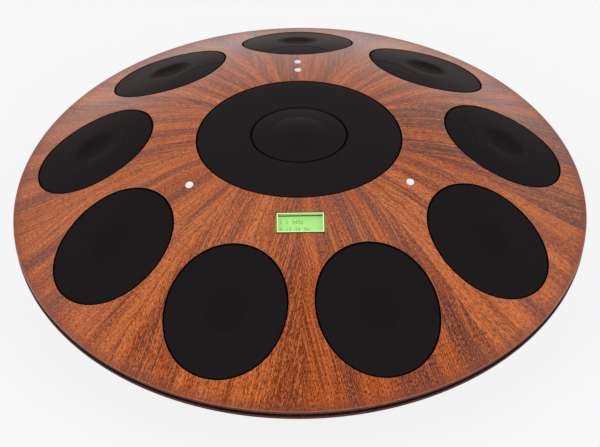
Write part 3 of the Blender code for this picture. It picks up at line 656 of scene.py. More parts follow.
def wood(name, ribbons, fleck, leaf_turn, gloss):
    """Veneer in wedge-shaped leaves round the middle, each with its own ribbons, stripes, grain and pores."""
    finish = Finish(bpy.data.materials.new(name), {SPECULAR: gloss})
    x, y, _ = finish.node("SeparateXYZ", {0: finish.place()})
    radius = finish.math('SQRT', finish.math('ADD', finish.times(x, x), finish.times(y, y)))
    turn = finish.math('SUBTRACT', finish.math('ARCTAN2', y, x), leaf_turn)
    turn = finish.math('DIVIDE', turn, LEAF_ANGLE)
    leaf = finish.math('FLOOR', turn)
    aside = finish.math('SUBTRACT', finish.math('SUBTRACT', turn, leaf), 0.5)
    leaf = finish.math('FLOORED_MODULO', leaf, PAD_COUNT)
    seed = finish.times(leaf, 3.7)
    narrowing = finish.math('POWER', finish.math('DIVIDE', radius, PAN_RADIUS), 0.75)

    def grain(across, per_across, per_along, detail, roughness=0.5):
        """Noise with so many features per metre across and along the leaf."""
        spot = finish.node("CombineXYZ", {0: across, 1: radius, 2: seed})[0]
        spot = finish.vector('MULTIPLY', spot, (per_across, per_along, 1.0))[0]
        return finish.noise(spot, 1.0, detail, roughness)

    spoke = finish.times(aside, PAN_RADIUS * LEAF_ANGLE)
    sway = finish.math('SUBTRACT', grain(spoke, 5.0, 6.0, 0.0), 0.5)
    wedge = finish.math('ADD', spoke, finish.times(sway, 4 * MM))
    fibre = finish.times(wedge, narrowing)
    ribbon = finish.remap(grain(wedge, 34.0, 0.5, 1.0), 0.41, 0.59)
    stripe = finish.remap(grain(wedge, 140.0, 0.8, 1.0), 0.38, 0.62)
    cloud = finish.remap(grain(wedge, 14.0, 7.0, 2.0), 0.30, 0.70)
    line = grain(fibre, 1000.0, 12.0, 0.0)
    dash = grain(fibre, 1600.0, 420.0, 1.0, 0.6)
    pore = grain(fibre, 2000.0, 90.0, 1.0)
    draw = {"W": finish.math('ADD', leaf, LEAF_SEED)}
    chance = finish.node("TexWhiteNoise", draw, noise_dimensions='1D')["Value"]
    tone = finish.times(ribbon, 0.46)
    for source, weight in ((stripe, 0.18), (cloud, 0.14), (chance, 0.22)):
        tone = finish.math('ADD', tone, finish.times(source, weight))
    flecks = finish.times(finish.remap(dash, 0.52, 0.66), finish.remap(stripe, 0.0, 1.0, 0.35, 0.60))
    flecks = finish.math('MAXIMUM', flecks, finish.remap(line, 0.55, 0.70, 0.0, 0.55))
    colour = finish.mix(flecks, finish.ramp(tone, *ribbons), (*fleck, 1.0))
    shade = finish.remap(dash, 0.36, 0.54, 0.42, 1.20)
    shade = finish.times(shade, finish.remap(line, 0.30, 0.47, 0.66, 1.0))
    shade = finish.times(shade, finish.remap(pore, 0.34, 0.46, 0.68, 1.0))
    colour = finish.mix(1.0, colour, shade, 'MULTIPLY')
    seam = finish.math('SUBTRACT', 0.5, finish.math('ABSOLUTE', aside))
    seam = finish.times(seam, finish.times(radius, LEAF_ANGLE))
    colour = finish.mix(finish.remap(seam, 0.1 * MM, 0.5 * MM, 0.35, 0.0), colour, (0.06, 0.016, 0.008, 1.0))
    rim = finish.remap(radius, PAN_RADIUS - 10 * MM, PAN_RADIUS - 1 * MM, 0.0, 0.55)
    colour = finish.mix(rim, colour, (*ribbons[0][1], 1.0))
    # Painted highlight and wear: the eased edges are tinted pale, as where they catch the light, less so at
    # the outer rim
    highlight_and_wear = finish.node("Attribute", attribute_name=EDGE_HIGHLIGHT_AND_WEAR)["Fac"]
    highlight_and_wear = finish.times(highlight_and_wear, finish.remap(radius, PAN_RADIUS - 4 * MM, PAN_RADIUS - 2 * MM, 0.60, 0.22))
    colour = finish.mix(highlight_and_wear, colour, (fleck[0], fleck[1] * 1.6, fleck[2] * 3.5, 1.0))
    finish.shade("Base Color", colour)
    finish.shade("Roughness", finish.remap(dash, 0.25, 0.75, 0.28, 0.36))
    finish.shade("Normal", finish.bump(shade, 0.20, 0.05 * MM))
    return finish.owner


def pad_rubber(name, gloss, has_dimple):
    """Satin rubber with a dusty bloom at a low angle, duller down in a strike pad's dimple, where painted
    shade darkens it a little.
    """
    rough = 0.42
    finish = grained(name, (0.0104, 0.0089, 0.0100), (0.0127, 0.0108, 0.0122), rough, 0.5, 0.02, {
        SPECULAR: gloss, "Sheen Weight": 0.035, "Sheen Roughness": 0.4, "Sheen Tint": (1.0, 0.55, 0.35, 1.0),
    })
    if has_dimple:
        x, y, _ = finish.node("SeparateXYZ", {0: finish.place()})
        flat = finish.node("CombineXYZ", {0: finish.math('DIVIDE', x, PAD_SHAPE), 1: y})[0]
        reach = finish.vector('LENGTH', flat)["Value"]
        hollow = finish.remap(reach, 0.75 * DIMPLE_RADIUS, DIMPLE_RADIUS, 1.0, 0.0)
        plain = finish.shader.inputs["Base Color"].links[0].from_socket
        # Painted shade: the dimple's colour is darkened a little inside its rim
        finish.shade("Base Color", finish.mix(finish.times(hollow, 0.06), plain, (0.0, 0.0, 0.0, 1.0)))
        finish.shade("Roughness", finish.math('ADD', finish.times(hollow, 0.14), rough))
    return finish.owner


def lit_panel(name):
    """Backlit panel: an even green glow that varies a little in soft patches, over a fine grid of cells."""
    finish = Finish(bpy.data.materials.new(name), {"Roughness": 0.35, "Emission Strength": 0.55})
    place = finish.place()
    cells = finish.node("TexBrick", {
        "Vector": place, "Scale": 1.0, "Color1": (1.0, 1.0, 1.0, 1.0), "Color2": (0.985, 0.985, 0.985, 1.0),
        "Mortar": (0.97, 0.97, 0.97, 1.0), "Mortar Size": 0.05 * MM, "Mortar Smooth": 0.5,
        "Brick Width": DOT_PITCH_X, "Row Height": DOT_PITCH_Y,
    }, offset=0.0)["Color"]
    glow = finish.ramp(finish.noise(place, 45.0, 1.0), (0.3, (0.37, 0.80, 0.190)), (0.7, (0.43, 0.88, 0.230)))
    colour = finish.mix(1.0, glow, cells, 'MULTIPLY')
    finish.shade("Base Color", finish.mix(1.0, colour, (0.45, 0.45, 0.45, 1.0), 'MULTIPLY'))
    finish.shade("Emission Color", colour)
    return finish.owner


def clear_window(name):
    """Clear cover with a printed border painted the pale green of the backlight's glow, painted shade round
    its outer edge, and a few fine streaks in its gloss.
    """
    finish = Finish(bpy.data.materials.new(name), {"IOR": 1.49, SPECULAR: 0.15})
    offset = finish.vector('SUBTRACT', finish.place(), DISPLAY_FRAME.translation)[0]
    inward = []
    for axis, size in ((DISPLAY_FRAME.col[0], WINDOW_WIDTH), (DISPLAY_FRAME.col[1], WINDOW_LENGTH)):
        along = finish.vector('DOT_PRODUCT', offset, axis.to_3d())["Value"]
        inward.append(finish.math('SUBTRACT', size / 2 - GAP, finish.math('ABSOLUTE', along)))
    inward = finish.math('MINIMUM', *inward)
    border = finish.remap(inward, PRINT_BORDER - HAIR, PRINT_BORDER + HAIR, 1.0, 0.0)
    streak = finish.noise(finish.vector('MULTIPLY', finish.place(), (60.0, 900.0, 60.0))[0], 1.0, 2.0)
    cover = finish.ramp(streak, (0.3, (0.70, 0.88, 0.60)), (0.7, (0.74, 0.92, 0.65)))
    # The printed border is painted as pale as the backlight's glow through it
    ink = finish.ramp(streak, (0.3, (0.740, 0.930, 0.360)), (0.7, (0.780, 0.960, 0.400)))
    # Painted shade: the outer millimetre of the border is dark olive, for the shadowed gap between cover and
    # wood
    ink = finish.mix(finish.remap(inward, 0.85 * MM, 1.05 * MM, 0.97, 0.0), ink, (0.060, 0.060, 0.008, 1.0))
    finish.shade("Base Color", finish.mix(border, cover, ink))
    finish.shade("Alpha", finish.math('ADD', finish.times(border, 0.97), 0.03))
    finish.shade("Roughness", finish.remap(streak, 0.3, 0.7, 0.10, 0.18))
    return finish.owner


BEZEL_GLOW = {"Emission Color": (0.60, 0.78, 0.34, 1.0), "Emission Strength": 0.15}
# Dark and light colour, roughness, size and depth of the grain in mm, and what else the shader is set to
GRAINED_LOOKS = {
    # Near-black painted shade for the walls of the openings in the wood
    "sealed_edge": ((0.008, 0.0026, 0.0020), (0.016, 0.0050, 0.0036), 0.65, 0.6, 0.03, {SPECULAR: 0.1}),
    "rim_face": ((0.060, 0.019, 0.017), (0.110, 0.034, 0.029), 0.55, 0.8, 0.04, {SPECULAR: 0.2}),
    # Near-black painted shade for the rubber deep in the grooves round the pads
    "pad_skirt": ((0.0016, 0.0014, 0.0015), (0.0030, 0.0027, 0.0028), 0.80, 0.5, 0.02, {SPECULAR: 0.05}),
    "gasket_rubber_ribbed": ((0.004, 0.004, 0.004), (0.008, 0.008, 0.008), 0.78, 0.4, 0.03, {SPECULAR: 0.2}),
    "foot_rubber_matt": ((0.010, 0.010, 0.010), (0.018, 0.018, 0.018), 0.80, 0.6, 0.05),
    "open_cell_foam": ((0.028, 0.028, 0.032), (0.075, 0.075, 0.082), 0.92, 0.7, 0.3),
    "deck_moulding": ((0.052, 0.052, 0.056), (0.068, 0.068, 0.074), 0.58, 0.5, 0.03),
    "sensor_brass_sheet": ((0.62, 0.42, 0.16), (0.76, 0.54, 0.23), 0.34, 0.3, 0.01, {METAL: 1.0}),
    "button_moulding": ((0.780, 0.765, 0.760), (0.850, 0.838, 0.825), 0.36, 0.4, 0.008, {SPECULAR: 0.4}),
    "solder_mask": ((0.018, 0.120, 0.050), (0.042, 0.190, 0.085), 0.42, 1.6, 0.03),
    "shrink_wrap": ((0.040, 0.075, 0.170), (0.060, 0.105, 0.225), 0.32, 2.2, 0.08),
    "cone_paper": ((0.014, 0.014, 0.014), (0.030, 0.029, 0.028), 0.82, 0.6, 0.06),
    "powder_coat": ((0.018, 0.018, 0.019), (0.032, 0.032, 0.034), 0.52, 0.25, 0.03, {METAL: 0.6}),
    "bay_moulding": ((0.016, 0.016, 0.017), (0.026, 0.026, 0.028), 0.60, 0.35, 0.04),
    "socket_moulding": ((0.010, 0.010, 0.010), (0.018, 0.018, 0.018), 0.36, 0.3, 0.01),
    "nickel_steel": ((0.50, 0.50, 0.49), (0.66, 0.65, 0.63), 0.30, 0.25, 0.01, {METAL: 1.0}),
    "contact_plating": ((0.70, 0.46, 0.16), (0.82, 0.58, 0.25), 0.26, 0.2, 0.005, {METAL: 1.0}),
    "blackened_steel": ((0.030, 0.030, 0.032), (0.060, 0.059, 0.058), 0.40, 0.3, 0.02, {METAL: 0.9}),
    "rocker_moulding": ((0.014, 0.014, 0.015), (0.024, 0.024, 0.026), 0.34, 0.4, 0.01),
    "switch_marking": ((0.62, 0.62, 0.60), (0.72, 0.72, 0.70), 0.50, 0.3, 0.005),
    "pale_bezel": ((0.560, 0.700, 0.330), (0.640, 0.780, 0.410), 0.38, 0.5, 0.01, BEZEL_GLOW),
    # Dark green painted shadow for the inside of the display's recess
    "bezel_inner_wall": ((0.004, 0.030, 0.002), (0.008, 0.046, 0.003), 0.60, 0.4, 0.01, {SPECULAR: 0.0}),
    "display_ink": ((0.020, 0.085, 0.010), (0.032, 0.115, 0.016), 0.45, 0.2, 0.002),
}
# Colours of the veneer's ribbons, from dark to light, and of its flecks
TOP_RIBBONS = (
    (0.20, (0.182, 0.035, 0.0150)), (0.44, (0.298, 0.050, 0.0080)), (0.62, (0.390, 0.067, 0.0055)),
    (0.85, (0.500, 0.112, 0.0190)),
)
TOP_FLECK = (0.60, 0.175, 0.0400)
LOWER_RIBBONS = ((0.25, (0.022, 0.009, 0.008)), (0.50, (0.036, 0.014, 0.011)), (0.85, (0.060, 0.022, 0.015)))
LOWER_FLECK = (0.10, 0.042, 0.028)
MATERIALS = [grained(name, *row).owner for name, row in GRAINED_LOOKS.items()] + [
    wood("lacquered_veneer", TOP_RIBBONS, TOP_FLECK, radians(-90), 0.5),
    wood("stained_shell_wood", LOWER_RIBBONS, LOWER_FLECK, radians(-70), 0.08),
    pad_rubber("strike_pad_rubber", 0.009, True), pad_rubber("centre_pad_rubber", 0.028, False),
    lit_panel("backlit_panel"), clear_window("clear_cover"),
]
LOOKS = {material.name: material for material in MATERIALS}


def place_object(name, data, matrix=None):
    thing = bpy.data.objects.new(name, data)
    bpy.context.scene.collection.objects.link(thing)
    if matrix:
        thing.matrix_world = matrix
    return thing


def add_piece(name, mesh, looks, matrix=None, node=None, body=None):
    """A piece of the looks, in the place of a CAD node where one is named, and on that node's body."""
    piece = place_object(name, mesh, matrix)
    if not mesh.materials:
        mesh.name = name
        for look in looks.split():
            mesh.materials.append(LOOKS[look])
    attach(piece, body or (node if node in frame["bodies"] else "body"))
    if node:
        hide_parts(node)
    return piece


def wooden_top():
    """Domed top with rounded edges at its rim and at every opening."""
    pads = []
    for index in range(PAD_COUNT):
        pads.append(Opening(pad_frame(index), PAD_HALF_RADIAL, PAD_HALF_ACROSS, PAD_STEPS))
    small = [Opening(DISPLAY_FRAME, WINDOW_WIDTH / 2, WINDOW_LENGTH / 2, 0, WINDOW_CORNER)]
    small.append(Opening(CENTRE_FRAME, CENTRE_HALF_X, CENTRE_HALF_Y, CENTRE_STEPS))
    for matrix, radius in BUTTONS.values():
        small.append(Opening(matrix, radius + HOLE_GAP, radius + HOLE_GAP, SMALL_STEPS))
    plan = Plan()
    plan.add_edge(ring_at(PAN_RADIUS, RIM_STEPS), RIM_EDGE, RIM_GUARDS, -1)
    for opening in pads + small:
        edge = WOOD_EDGE if opening.half_x > SIDE_BUTTON_RADIUS + HOLE_GAP else WOOD_EDGE / 2
        plan.add_edge(opening.loop, edge, EDGE_GUARDS)
    for radius in (RIM_LAND, RIM_LAND - LAND_STEP):
        plan.add(oval(radius, radius, RIM_STEPS))

    def wanted(x, y):
        radius = hypot(x, y)
        if radius >= PAN_RADIUS - RIM_EDGE - GRID or abs(radius - RIM_LAND) <= 2 * MM:
            return False
        near = round((math.atan2(y, x) - radians(90)) / LEAF_ANGLE) % PAD_COUNT
        return min(opening.gap(x, y) for opening in [pads[near]] + small) > WOOD_EDGE + 4 * MM

    def under(x, y):
        radius = hypot(x, y)
        return UPPER_RIM if radius > RIM_LAND - LAND_STEP / 2 else dome_height(radius) - TOP_WALL

    plan.add_grid(PAN_RADIUS, GRID, wanted)
    # The openings' walls take a painted shade for the dark gaps round the pads and fittings
    mesh = plan.plate(lambda x, y: dome_height(hypot(x, y)), under, wall_slots=(1, 2))
    add_piece("wooden_top", mesh, "lacquered_veneer rim_face sealed_edge", node="top_shell")


def pad_reach(x, y):
    return hypot(x / PAD_SHAPE, y)


def crease_gap(x, y):
    return hypot(x - CREASE_CENTRE, y) - CREASE_RADIUS


def pad_depth(x, y):
    """Depth of a strike pad's face: the dimple, and the moulded arc on the side of the pan's middle."""
    reach = pad_reach(x, y)
    depth = PAD_SET + DIMPLE_DEPTH * (1 - ease(DIMPLE_FLOOR, DIMPLE_RADIUS, reach))
    depth += LIP_DEPTH * (1 - ease(LIP_RADIUS - LIP_WIDTH, LIP_RADIUS, reach))
    arc = math.exp(-(crease_gap(x, y) / CREASE_HALF) ** 2)
    return depth + CREASE_DEPTH * arc * ease(1.5 * MM, 5 * MM, PAD_RIM - reach)


def strike_pad_mesh():
    """Strike pad round its own middle: a finely drawn face, and a skirt with a flange under the wood."""
    plan = Plan()
    plan.add_edge(lambda offset: oval((PAD_RIM + offset) * PAD_SHAPE, PAD_RIM + offset, PAD_STEPS), PAD_EDGE,
                  PAD_GUARDS, -1)
    lip = spread(LIP_RADIUS - 1.3 * LIP_WIDTH, LIP_RADIUS + 0.3 * LIP_WIDTH, 9)
    for radius in spread(0.08 * DIMPLE_RADIUS, DIMPLE_RADIUS, 16) + lip:
        plan.add(oval(radius * PAD_SHAPE, radius, PAD_STEPS * 3 // 4))
    plan.add([(0.0, 0.0)], closed=False)
    turns = spread(-pi / 2, pi / 2, 65)
    for offset in CREASE_ROWS:
        radius = CREASE_RADIUS + offset * MM
        arc = [(CREASE_CENTRE + radius * cos(turn), radius * sin(turn)) for turn in turns]
        plan.add([point for point in arc if pad_reach(*point) < PAD_RIM - 3.4 * MM], closed=False)

    def wanted(x, y):
        beside = abs(crease_gap(x, y)) > CREASE_CLEAR
        return beside and LIP_RADIUS + 3 * MM < pad_reach(x, y) < PAD_RIM - GRID

    plan.add_grid(PAD_RIM, GRID * 0.8, wanted)
    build = bmesh.new()
    verts = []
    for (x, y), drop in zip(plan.points, plan.drops):
        verts.append(build.verts.new((x, y, over_dome(x, y, PAD_CIRCLE) - pad_depth(x, y) - drop)))
    for corners in plan.fill():
        build.faces.new([verts[number] for number in corners])
    brim = PAD_RIM + PAD_GROOVE + PAD_FLANGE
    skirt = rounded([(PAD_RIM, -FLANGE_TOP, 0), (brim, -FLANGE_TOP, SOFT), (brim, -PAD_BOTTOM, SOFT),
                     (PAD_RIM - FOAM_WIDTH, -PAD_BOTTOM, 0)])
    skirt += [(PAD_RIM * share, -PAD_BOTTOM) for share in (0.6, 0.35, 0.15, 0.0)]
    rows = draped_rows(skirt, PAD_STEPS, PAD_CIRCLE, scale_x=PAD_SHAPE)
    add_rows(build, rows, [verts[number] for number in plan.walls[0]])
    return with_painted_groove_shade(to_mesh(build), PAD_CIRCLE, lambda x, y: pad_reach(x, y) < LIP_RADIUS)


def with_painted_groove_shade(mesh, seat, is_face=lambda x, y: False):
    """Gives the second material, a near-black painted shade, to what lies deep in the groove round a pad."""
    for face in mesh.polygons:
        x, y, z = face.center
        if over_dome(x, y, seat) - z > PAD_SET + PAD_EDGE and not is_face(x, y):
            face.material_index = 1
    return mesh


def foam_profile(outer):
    """Foam ring that stands a little lower than its room, so that a struck pad doesn't sink into it."""
    inner = outer - FOAM_WIDTH
    top = -FOAM_TOP - FOAM_SLACK
    corners = [(inner, top), (outer, top), (outer, -FOAM_BOTTOM), (inner, -FOAM_BOTTOM)]
    return rounded([(reach, height, FOAM_EDGE) for reach, height in corners], closed=True)


def add_foam(name, mesh, matrix, node):
    foam = add_piece(name, mesh, "open_cell_foam", matrix, node)


def strike_pads():
    pad = strike_pad_mesh()
    rows = draped_rows(foam_profile(PAD_RIM), RING_STEPS, PAD_CIRCLE, scale_x=PAD_SHAPE)
    foam = skinned(rows, loop=True)
    for number in range(1, PAD_COUNT + 1):
        matrix = pad_frame(number - 1)
        add_piece(f"strike_pad_{number}", pad, "strike_pad_rubber pad_skirt", matrix,
                  f"tone_pad_{number}")
        add_foam(f"strike_pad_foam_{number}", foam, matrix, f"pad_foam_{number}")


def boss_height(reach, edge):
    """Rise of the boss over the dome: a low crown out to its edge, and a rounder cap in its middle."""
    crown = BOSS_RISE * (1 - (reach / edge) ** 2)
    return crown + BOSS_CAP_RISE * max(0.0, 1 - (reach / BOSS_CAP_HALF_X) ** 2)


def centre_pads():
    """Oval ring pad with a rounded edge at both sides, and the crowned boss in its middle."""
    edge = CENTRE_HALF_X - PAD_GROOVE
    brim = CENTRE_HALF_X + PAD_FLANGE
    face = spread(BOSS_HALF_X, edge, 14)[1:-1]
    corners = [(BOSS_HALF_X, -PAD_BOTTOM, 0), (BOSS_HALF_X, -PAD_SET, PAD_EDGE)]
    corners += [(reach, -PAD_SET, 0) for reach in face]
    corners += [(edge, -PAD_SET, PAD_EDGE), (edge, -FLANGE_TOP, 0), (brim, -FLANGE_TOP, SOFT),
                (brim, -PAD_BOTTOM, SOFT)]
    corners += [(reach, -PAD_BOTTOM, 0) for reach in reversed(face)]
    rows = draped_rows(rounded(corners, closed=True), CENTRE_STEPS, 0.0, scale_y=CENTRE_SHAPE)
    rubber = "centre_pad_rubber pad_skirt"
    ring = with_painted_groove_shade(skinned(rows, loop=True), 0.0)
    add_piece("centre_ring", ring, rubber, CENTRE_FRAME, "ring_pad")
    boss_edge = BOSS_HALF_X - PAD_GROOVE
    top = boss_edge - PAD_EDGE
    reaches = spread(0.0, BOSS_CAP_HALF_X, 20) + spread(BOSS_CAP_HALF_X, top, 14)[1:]
    crown = [(reach, -PAD_SET + boss_height(reach, top)) for reach in reaches]
    lip = rounded([crown[-1] + (0,), (boss_edge, -PAD_SET, PAD_EDGE * 0.9), (boss_edge, -PAD_BOTTOM, 0)])
    back = [(boss_edge * share, -PAD_BOTTOM) for share in (0.8, 0.5, 0.25, 0.0)]
    rows = draped_rows(crown + lip[1:] + back, PAD_STEPS, 0.0, scale_y=CENTRE_SHAPE)
    add_piece("centre_boss", with_painted_groove_shade(skinned(rows), 0.0), rubber, CENTRE_FRAME, "centre_pad")
    for node, outer in (("ring_foam", edge), ("centre_foam", boss_edge)):
        rows = draped_rows(foam_profile(outer), PAD_STEPS, 0.0, scale_y=CENTRE_SHAPE)
        add_foam(node + "_pad", skinned(rows, loop=True), CENTRE_FRAME, node)


def seam_gasket():
    """Gasket ring with a rounded, ribbed outer face, squeezed between the two rims."""
    inner = RIM_LAND + GAP
    third = (UPPER_RIM - LOWER_RIM) / 3
    corners = [(inner, LOWER_RIM, 0), (GASKET_RADIUS, LOWER_RIM, SOFT)]
    for groove in (LOWER_RIM + third, UPPER_RIM - third):
        corners += [(GASKET_RADIUS, groove - GASKET_RIB, 0), (GASKET_RADIUS - GASKET_RIB, groove, 0),
                    (GASKET_RADIUS, groove + GASKET_RIB, 0)]
    corners += [(GASKET_RADIUS, UPPER_RIM, SOFT), (inner, UPPER_RIM, 0)]
    mesh = turned(rounded(corners, closed=True), RIM_STEPS, closed=True)
    add_piece("seam_gasket", mesh, "gasket_rubber_ribbed", node="rim_gasket")


def wooden_bowl():
    """Lower shell with a rounded rim, open for the speakers and, at the back, for the connector bay."""
    speakers = []
    for side in SIDES:
        middle, radius, _, _ = round_box("speaker_grille_" + side)
        speakers.append(Opening(at(*middle), radius + GAP, radius + GAP, RING_STEPS))
    half = BAY_HIGH.x + GAP
    front = BAY_LOW.y - GAP
    rise = (BAY_HIGH.z + GAP - BASE) / BOWL_DEPTH
    reach = BOWL_FLAT + (LOWER_RADIUS - BOWL_FLAT) * rise ** (1 / BOWL_POWER)

    def bay_loop(offset):
        """Plan of the bay's opening: straight sides, and round where its ceiling meets the bowl."""
        wide = half + offset
        near = front - offset
        far = reach + offset
        turn = math.asin(wide / far)
        side = far * cos(turn)
        loop = [(x, near) for x in spread(-wide, wide, 25)[:-1]]
        loop += [(wide, y) for y in spread(near, side, 15)[:-1]]
        loop += [(far * sin(angle), far * cos(angle)) for angle in spread(turn, -turn, 25)[:-1]]
        return loop + [(-wide, y) for y in spread(side, near, 15)[:-1]]

    def wanted(x, y):
        radius = hypot(x, y)
        gaps = [max(abs(x) - half, front - y, radius - reach)] + [opening.gap(x, y) for opening in speakers]
        near_flat = BOWL_FLAT - 3 * MM < radius < BOWL_FLAT + 8 * MM
        return radius < LOWER_RADIUS - 6 * MM and not near_flat and min(gaps) > GRID

    def inside(x, y):
        radius = hypot(x, y)
        land = LOWER_RADIUS - LOWER_LAND + 1.5 * MM
        raised = bowl_height(radius) + LOWER_WALL
        return raised + (LOWER_RIM - raised) * ease(land - 4 * MM, land, radius)

    plan = Plan()
    plan.add_edge(ring_at(LOWER_RADIUS, RIM_STEPS), LOWER_EDGE, RIM_GUARDS, -1)
    for opening in speakers:
        plan.add_edge(opening.loop, WOOD_EDGE, EDGE_GUARDS)
    plan.add_edge(bay_loop, WOOD_EDGE / 2, EDGE_GUARDS)
    for radius in (BOWL_FLAT, BOWL_FLAT + 2 * MM, BOWL_FLAT + 5 * MM):
        plan.add(oval(radius, radius, RIM_STEPS // 2))
    plan.add_grid(LOWER_RADIUS, GRID * 1.2, wanted)
    # The walls of the speaker and bay openings take the same painted shade
    mesh = plan.plate(lambda x, y: bowl_height(hypot(x, y)), inside, -1, wall_slots=(1, 2))
    add_piece("wooden_bowl", mesh, "stained_shell_wood rim_face sealed_edge",
              node="bottom_shell")


def board_posts():
    """Posts that carry the main board, each with a chamfered foot on the floor of the bowl."""
    low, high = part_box("main_board")
    floor_z = BASE + LOWER_WALL
    top = low.z - floor_z - GAP
    foot = STANDOFF_RADIUS + MM
    mesh = turned(rounded([
        (0.0, -FINE, 0), (foot, -FINE, 0), (foot, 0.4 * MM, SOFT), (STANDOFF_RADIUS, 1.4 * MM, 0.4 * MM),
        (STANDOFF_RADIUS, top, SOFT), (0.0, top, 0),
    ]))
    corners = [(x, y) for x in (low.x + BOARD_INSET, high.x - BOARD_INSET)
               for y in (low.y + BOARD_INSET, high.y - BOARD_INSET)]
    for number, (x, y) in enumerate(corners, 1):
        add_piece(f"board_post_{number}", mesh, "stained_shell_wood", at(x, y, floor_z))


def screw_mesh():
    """Low round screw head with a six-sided recess, its bearing face at z = 0."""
    steps = 36
    radius = SCREW_RADIUS
    top = radius * 0.55
    key = radius * 0.5
    outside = rounded([
        (radius, 0.0, 0), (radius, top * 0.55, radius * 0.2), (radius * 0.72, top, radius * 0.15),
        (key * 1.12, top, 0),
    ])
    rows = [[(0.0, 0.0, 0.0)]] + loops_at(ring_at(0.0, steps), outside)
    rows += loops_at(lambda offset: hexagon(key, steps), [(0, top * 0.96), (0, top * 0.25)])
    return skinned(rows + [[(0.0, 0.0, top * 0.2)]])


def feet(screw):
    """Rubber feet with a hollow in the sole that holds the screw."""
    for number in range(1, 5):
        low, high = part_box(f"foot_{number}")
        x, y, _ = (low + high) / 2
        radius = (high.y - low.y) / 2
        sole = 1.2 * MM
        hollow = radius * 0.38
        seat = 0.55 * high.z
        profile = rounded([
            (0.0, high.z, 0), (radius, high.z, FULL), (radius, 0.3 * high.z, sole),
            (radius - 1.5 * MM, 0.0, sole), (hollow + 0.8 * MM, 0.0, sole / 2), (hollow, seat, sole / 2),
            (0.0, seat, 0),
        ])
        add_piece(f"rubber_foot_{number}", turned(profile, 64), "foot_rubber_matt",
                  at(x, y, 0.0), f"foot_{number}")
        add_piece(f"foot_screw_{number}", screw, "blackened_steel",
                  at(x, y, seat) @ TURN_OVER)


def rim_screws(screw):
    """Screws in cup washers round the slope of the bowl, which hold the two halves together."""
    well = 0.2 * MM
    shares = ((0, -0.3, 0), (1.9, -0.3, 0), (1.9, 0.1, 0.1), (1.3, 0.9, 0.3), (1.08, 0.9, 0.1))
    cup = [(SCREW_RADIUS * reach, height * MM, rounding * MM) for reach, height, rounding in shares]
    washer = turned(rounded(cup + [(SCREW_RADIUS * 1.04, well, 0), (0.0, well, 0)]))
    for index in range(PAD_COUNT):
        seat = face_frame(bowl_height, RIM_SCREW_CIRCLE, radians(-90) + LEAF_ANGLE * index) @ TURN_OVER
        add_piece(f"cup_washer_{index + 1}", washer, "nickel_steel", seat)
        add_piece(f"rim_screw_{index + 1}", screw, "blackened_steel", seat @ at(0, 0, well))


# The display's numbers, each digit five dots wide and seven high, and the heights of their two rows
DIGITS = {
    "0": "01110100011001110101110011000101110", "1": "00100011000010000100001000010001110",
    "2": "01110100010000100010001000100011111", "3": "11111000100010000010000011000101110",
    "4": "00010001100101010010111110001000010", "5": "11111100001111000001000011000101110",
    "6": "00110010001000011110100011000101110",
}
DISPLAY_ROWS = ((3.4 * MM, "1 2 3456"), (-4.2 * MM, "0 12 34 56"))


def digit_dots():
    """Places of the dots of the display's numbers."""
    for row_y, text in DISPLAY_ROWS:
        for place, character in enumerate(text):
            for number, dot in enumerate(DIGITS.get(character, "")):
                if dot == "1":
                    x = DIGIT_START + place * DIGIT_PITCH + (number % 5) * DOT_PITCH_X
                    yield x, row_y + (3 - number // 5) * DOT_PITCH_Y


def display():
    """Bezel in the window, the lit panel under it and the dots of its numbers."""
    half_x = WINDOW_WIDTH / 2 - GAP
    half_y = WINDOW_LENGTH / 2 - GAP
    inner_x = half_x - FRAME_BORDER
    inner_y = half_y - FRAME_BORDER
    top = -WINDOW_SET - WINDOW_WALL - GAP
    low = top - FRAME_HEIGHT
    edge = 0.25 * MM
    brow = (edge * 0.3, top - edge * 0.3)
    rows = loops_at(box_at(half_x, half_y, WINDOW_CORNER),
                    [(0, low), (0, top - edge), (-brow[0], brow[1]), (-edge, top)])
    rows += loops_at(box_at(inner_x, inner_y, 0.9 * MM), [(edge, top), brow, (0, top - edge), (0, low)])
    bezel = skinned(rows, loop=True)
    # Painted shadow: the bezel's inner walls and its top on the far side take the dark green of the shade in
    # the recess
    for face in bezel.polygons:
        x, y, _ = face.center
        is_wall = max(abs(x) - inner_x, abs(y) - inner_y) < 0.05 * MM and abs(face.normal.z) < 0.5
        if is_wall or (y > inner_y and face.normal.z > 0.5):
            face.material_index = 1
    add_piece("display_bezel", bezel, "pale_bezel bezel_inner_wall", DISPLAY_FRAME,
              "display_frame")

    panel_top = low - GAP
    panel_low = -square_depth(DECK_TOP, DISPLAY_CENTRE) + CURVED_GAP
    step = panel_top - 0.8 * MM
    rows = loops_at(box_at(half_x + MODULE_BORDER_X, half_y + MODULE_BORDER_Y, 1.0 * MM),
                    [(-FINE, panel_low), (0, panel_low + FINE), (0, step - FINE), (-FINE, step)])
    rows += loops_at(box_at(half_x, half_y, 0.8 * MM), [(0, step), (0, panel_top - HAIR), (-HAIR, panel_top)])
    add_piece("display_panel", skinned(capped(rows)), "backlit_panel", DISPLAY_FRAME,
              "display_module")

    build = bmesh.new()
    half = DOT / 2
    corners = ((-half, -half), (half, -half), (half, half), (-half, half))
    for x, y in digit_dots():
        rows = [[(x + dx * size, y + dy * size, panel_top + height) for dx, dy in corners]
                for size, height in ((1.0, -0.02 * MM), (0.94, 0.04 * MM))]
        add_rows(build, capped(rows, x, y))
    add_piece("display_digits", to_mesh(build), "display_ink", DISPLAY_FRAME)


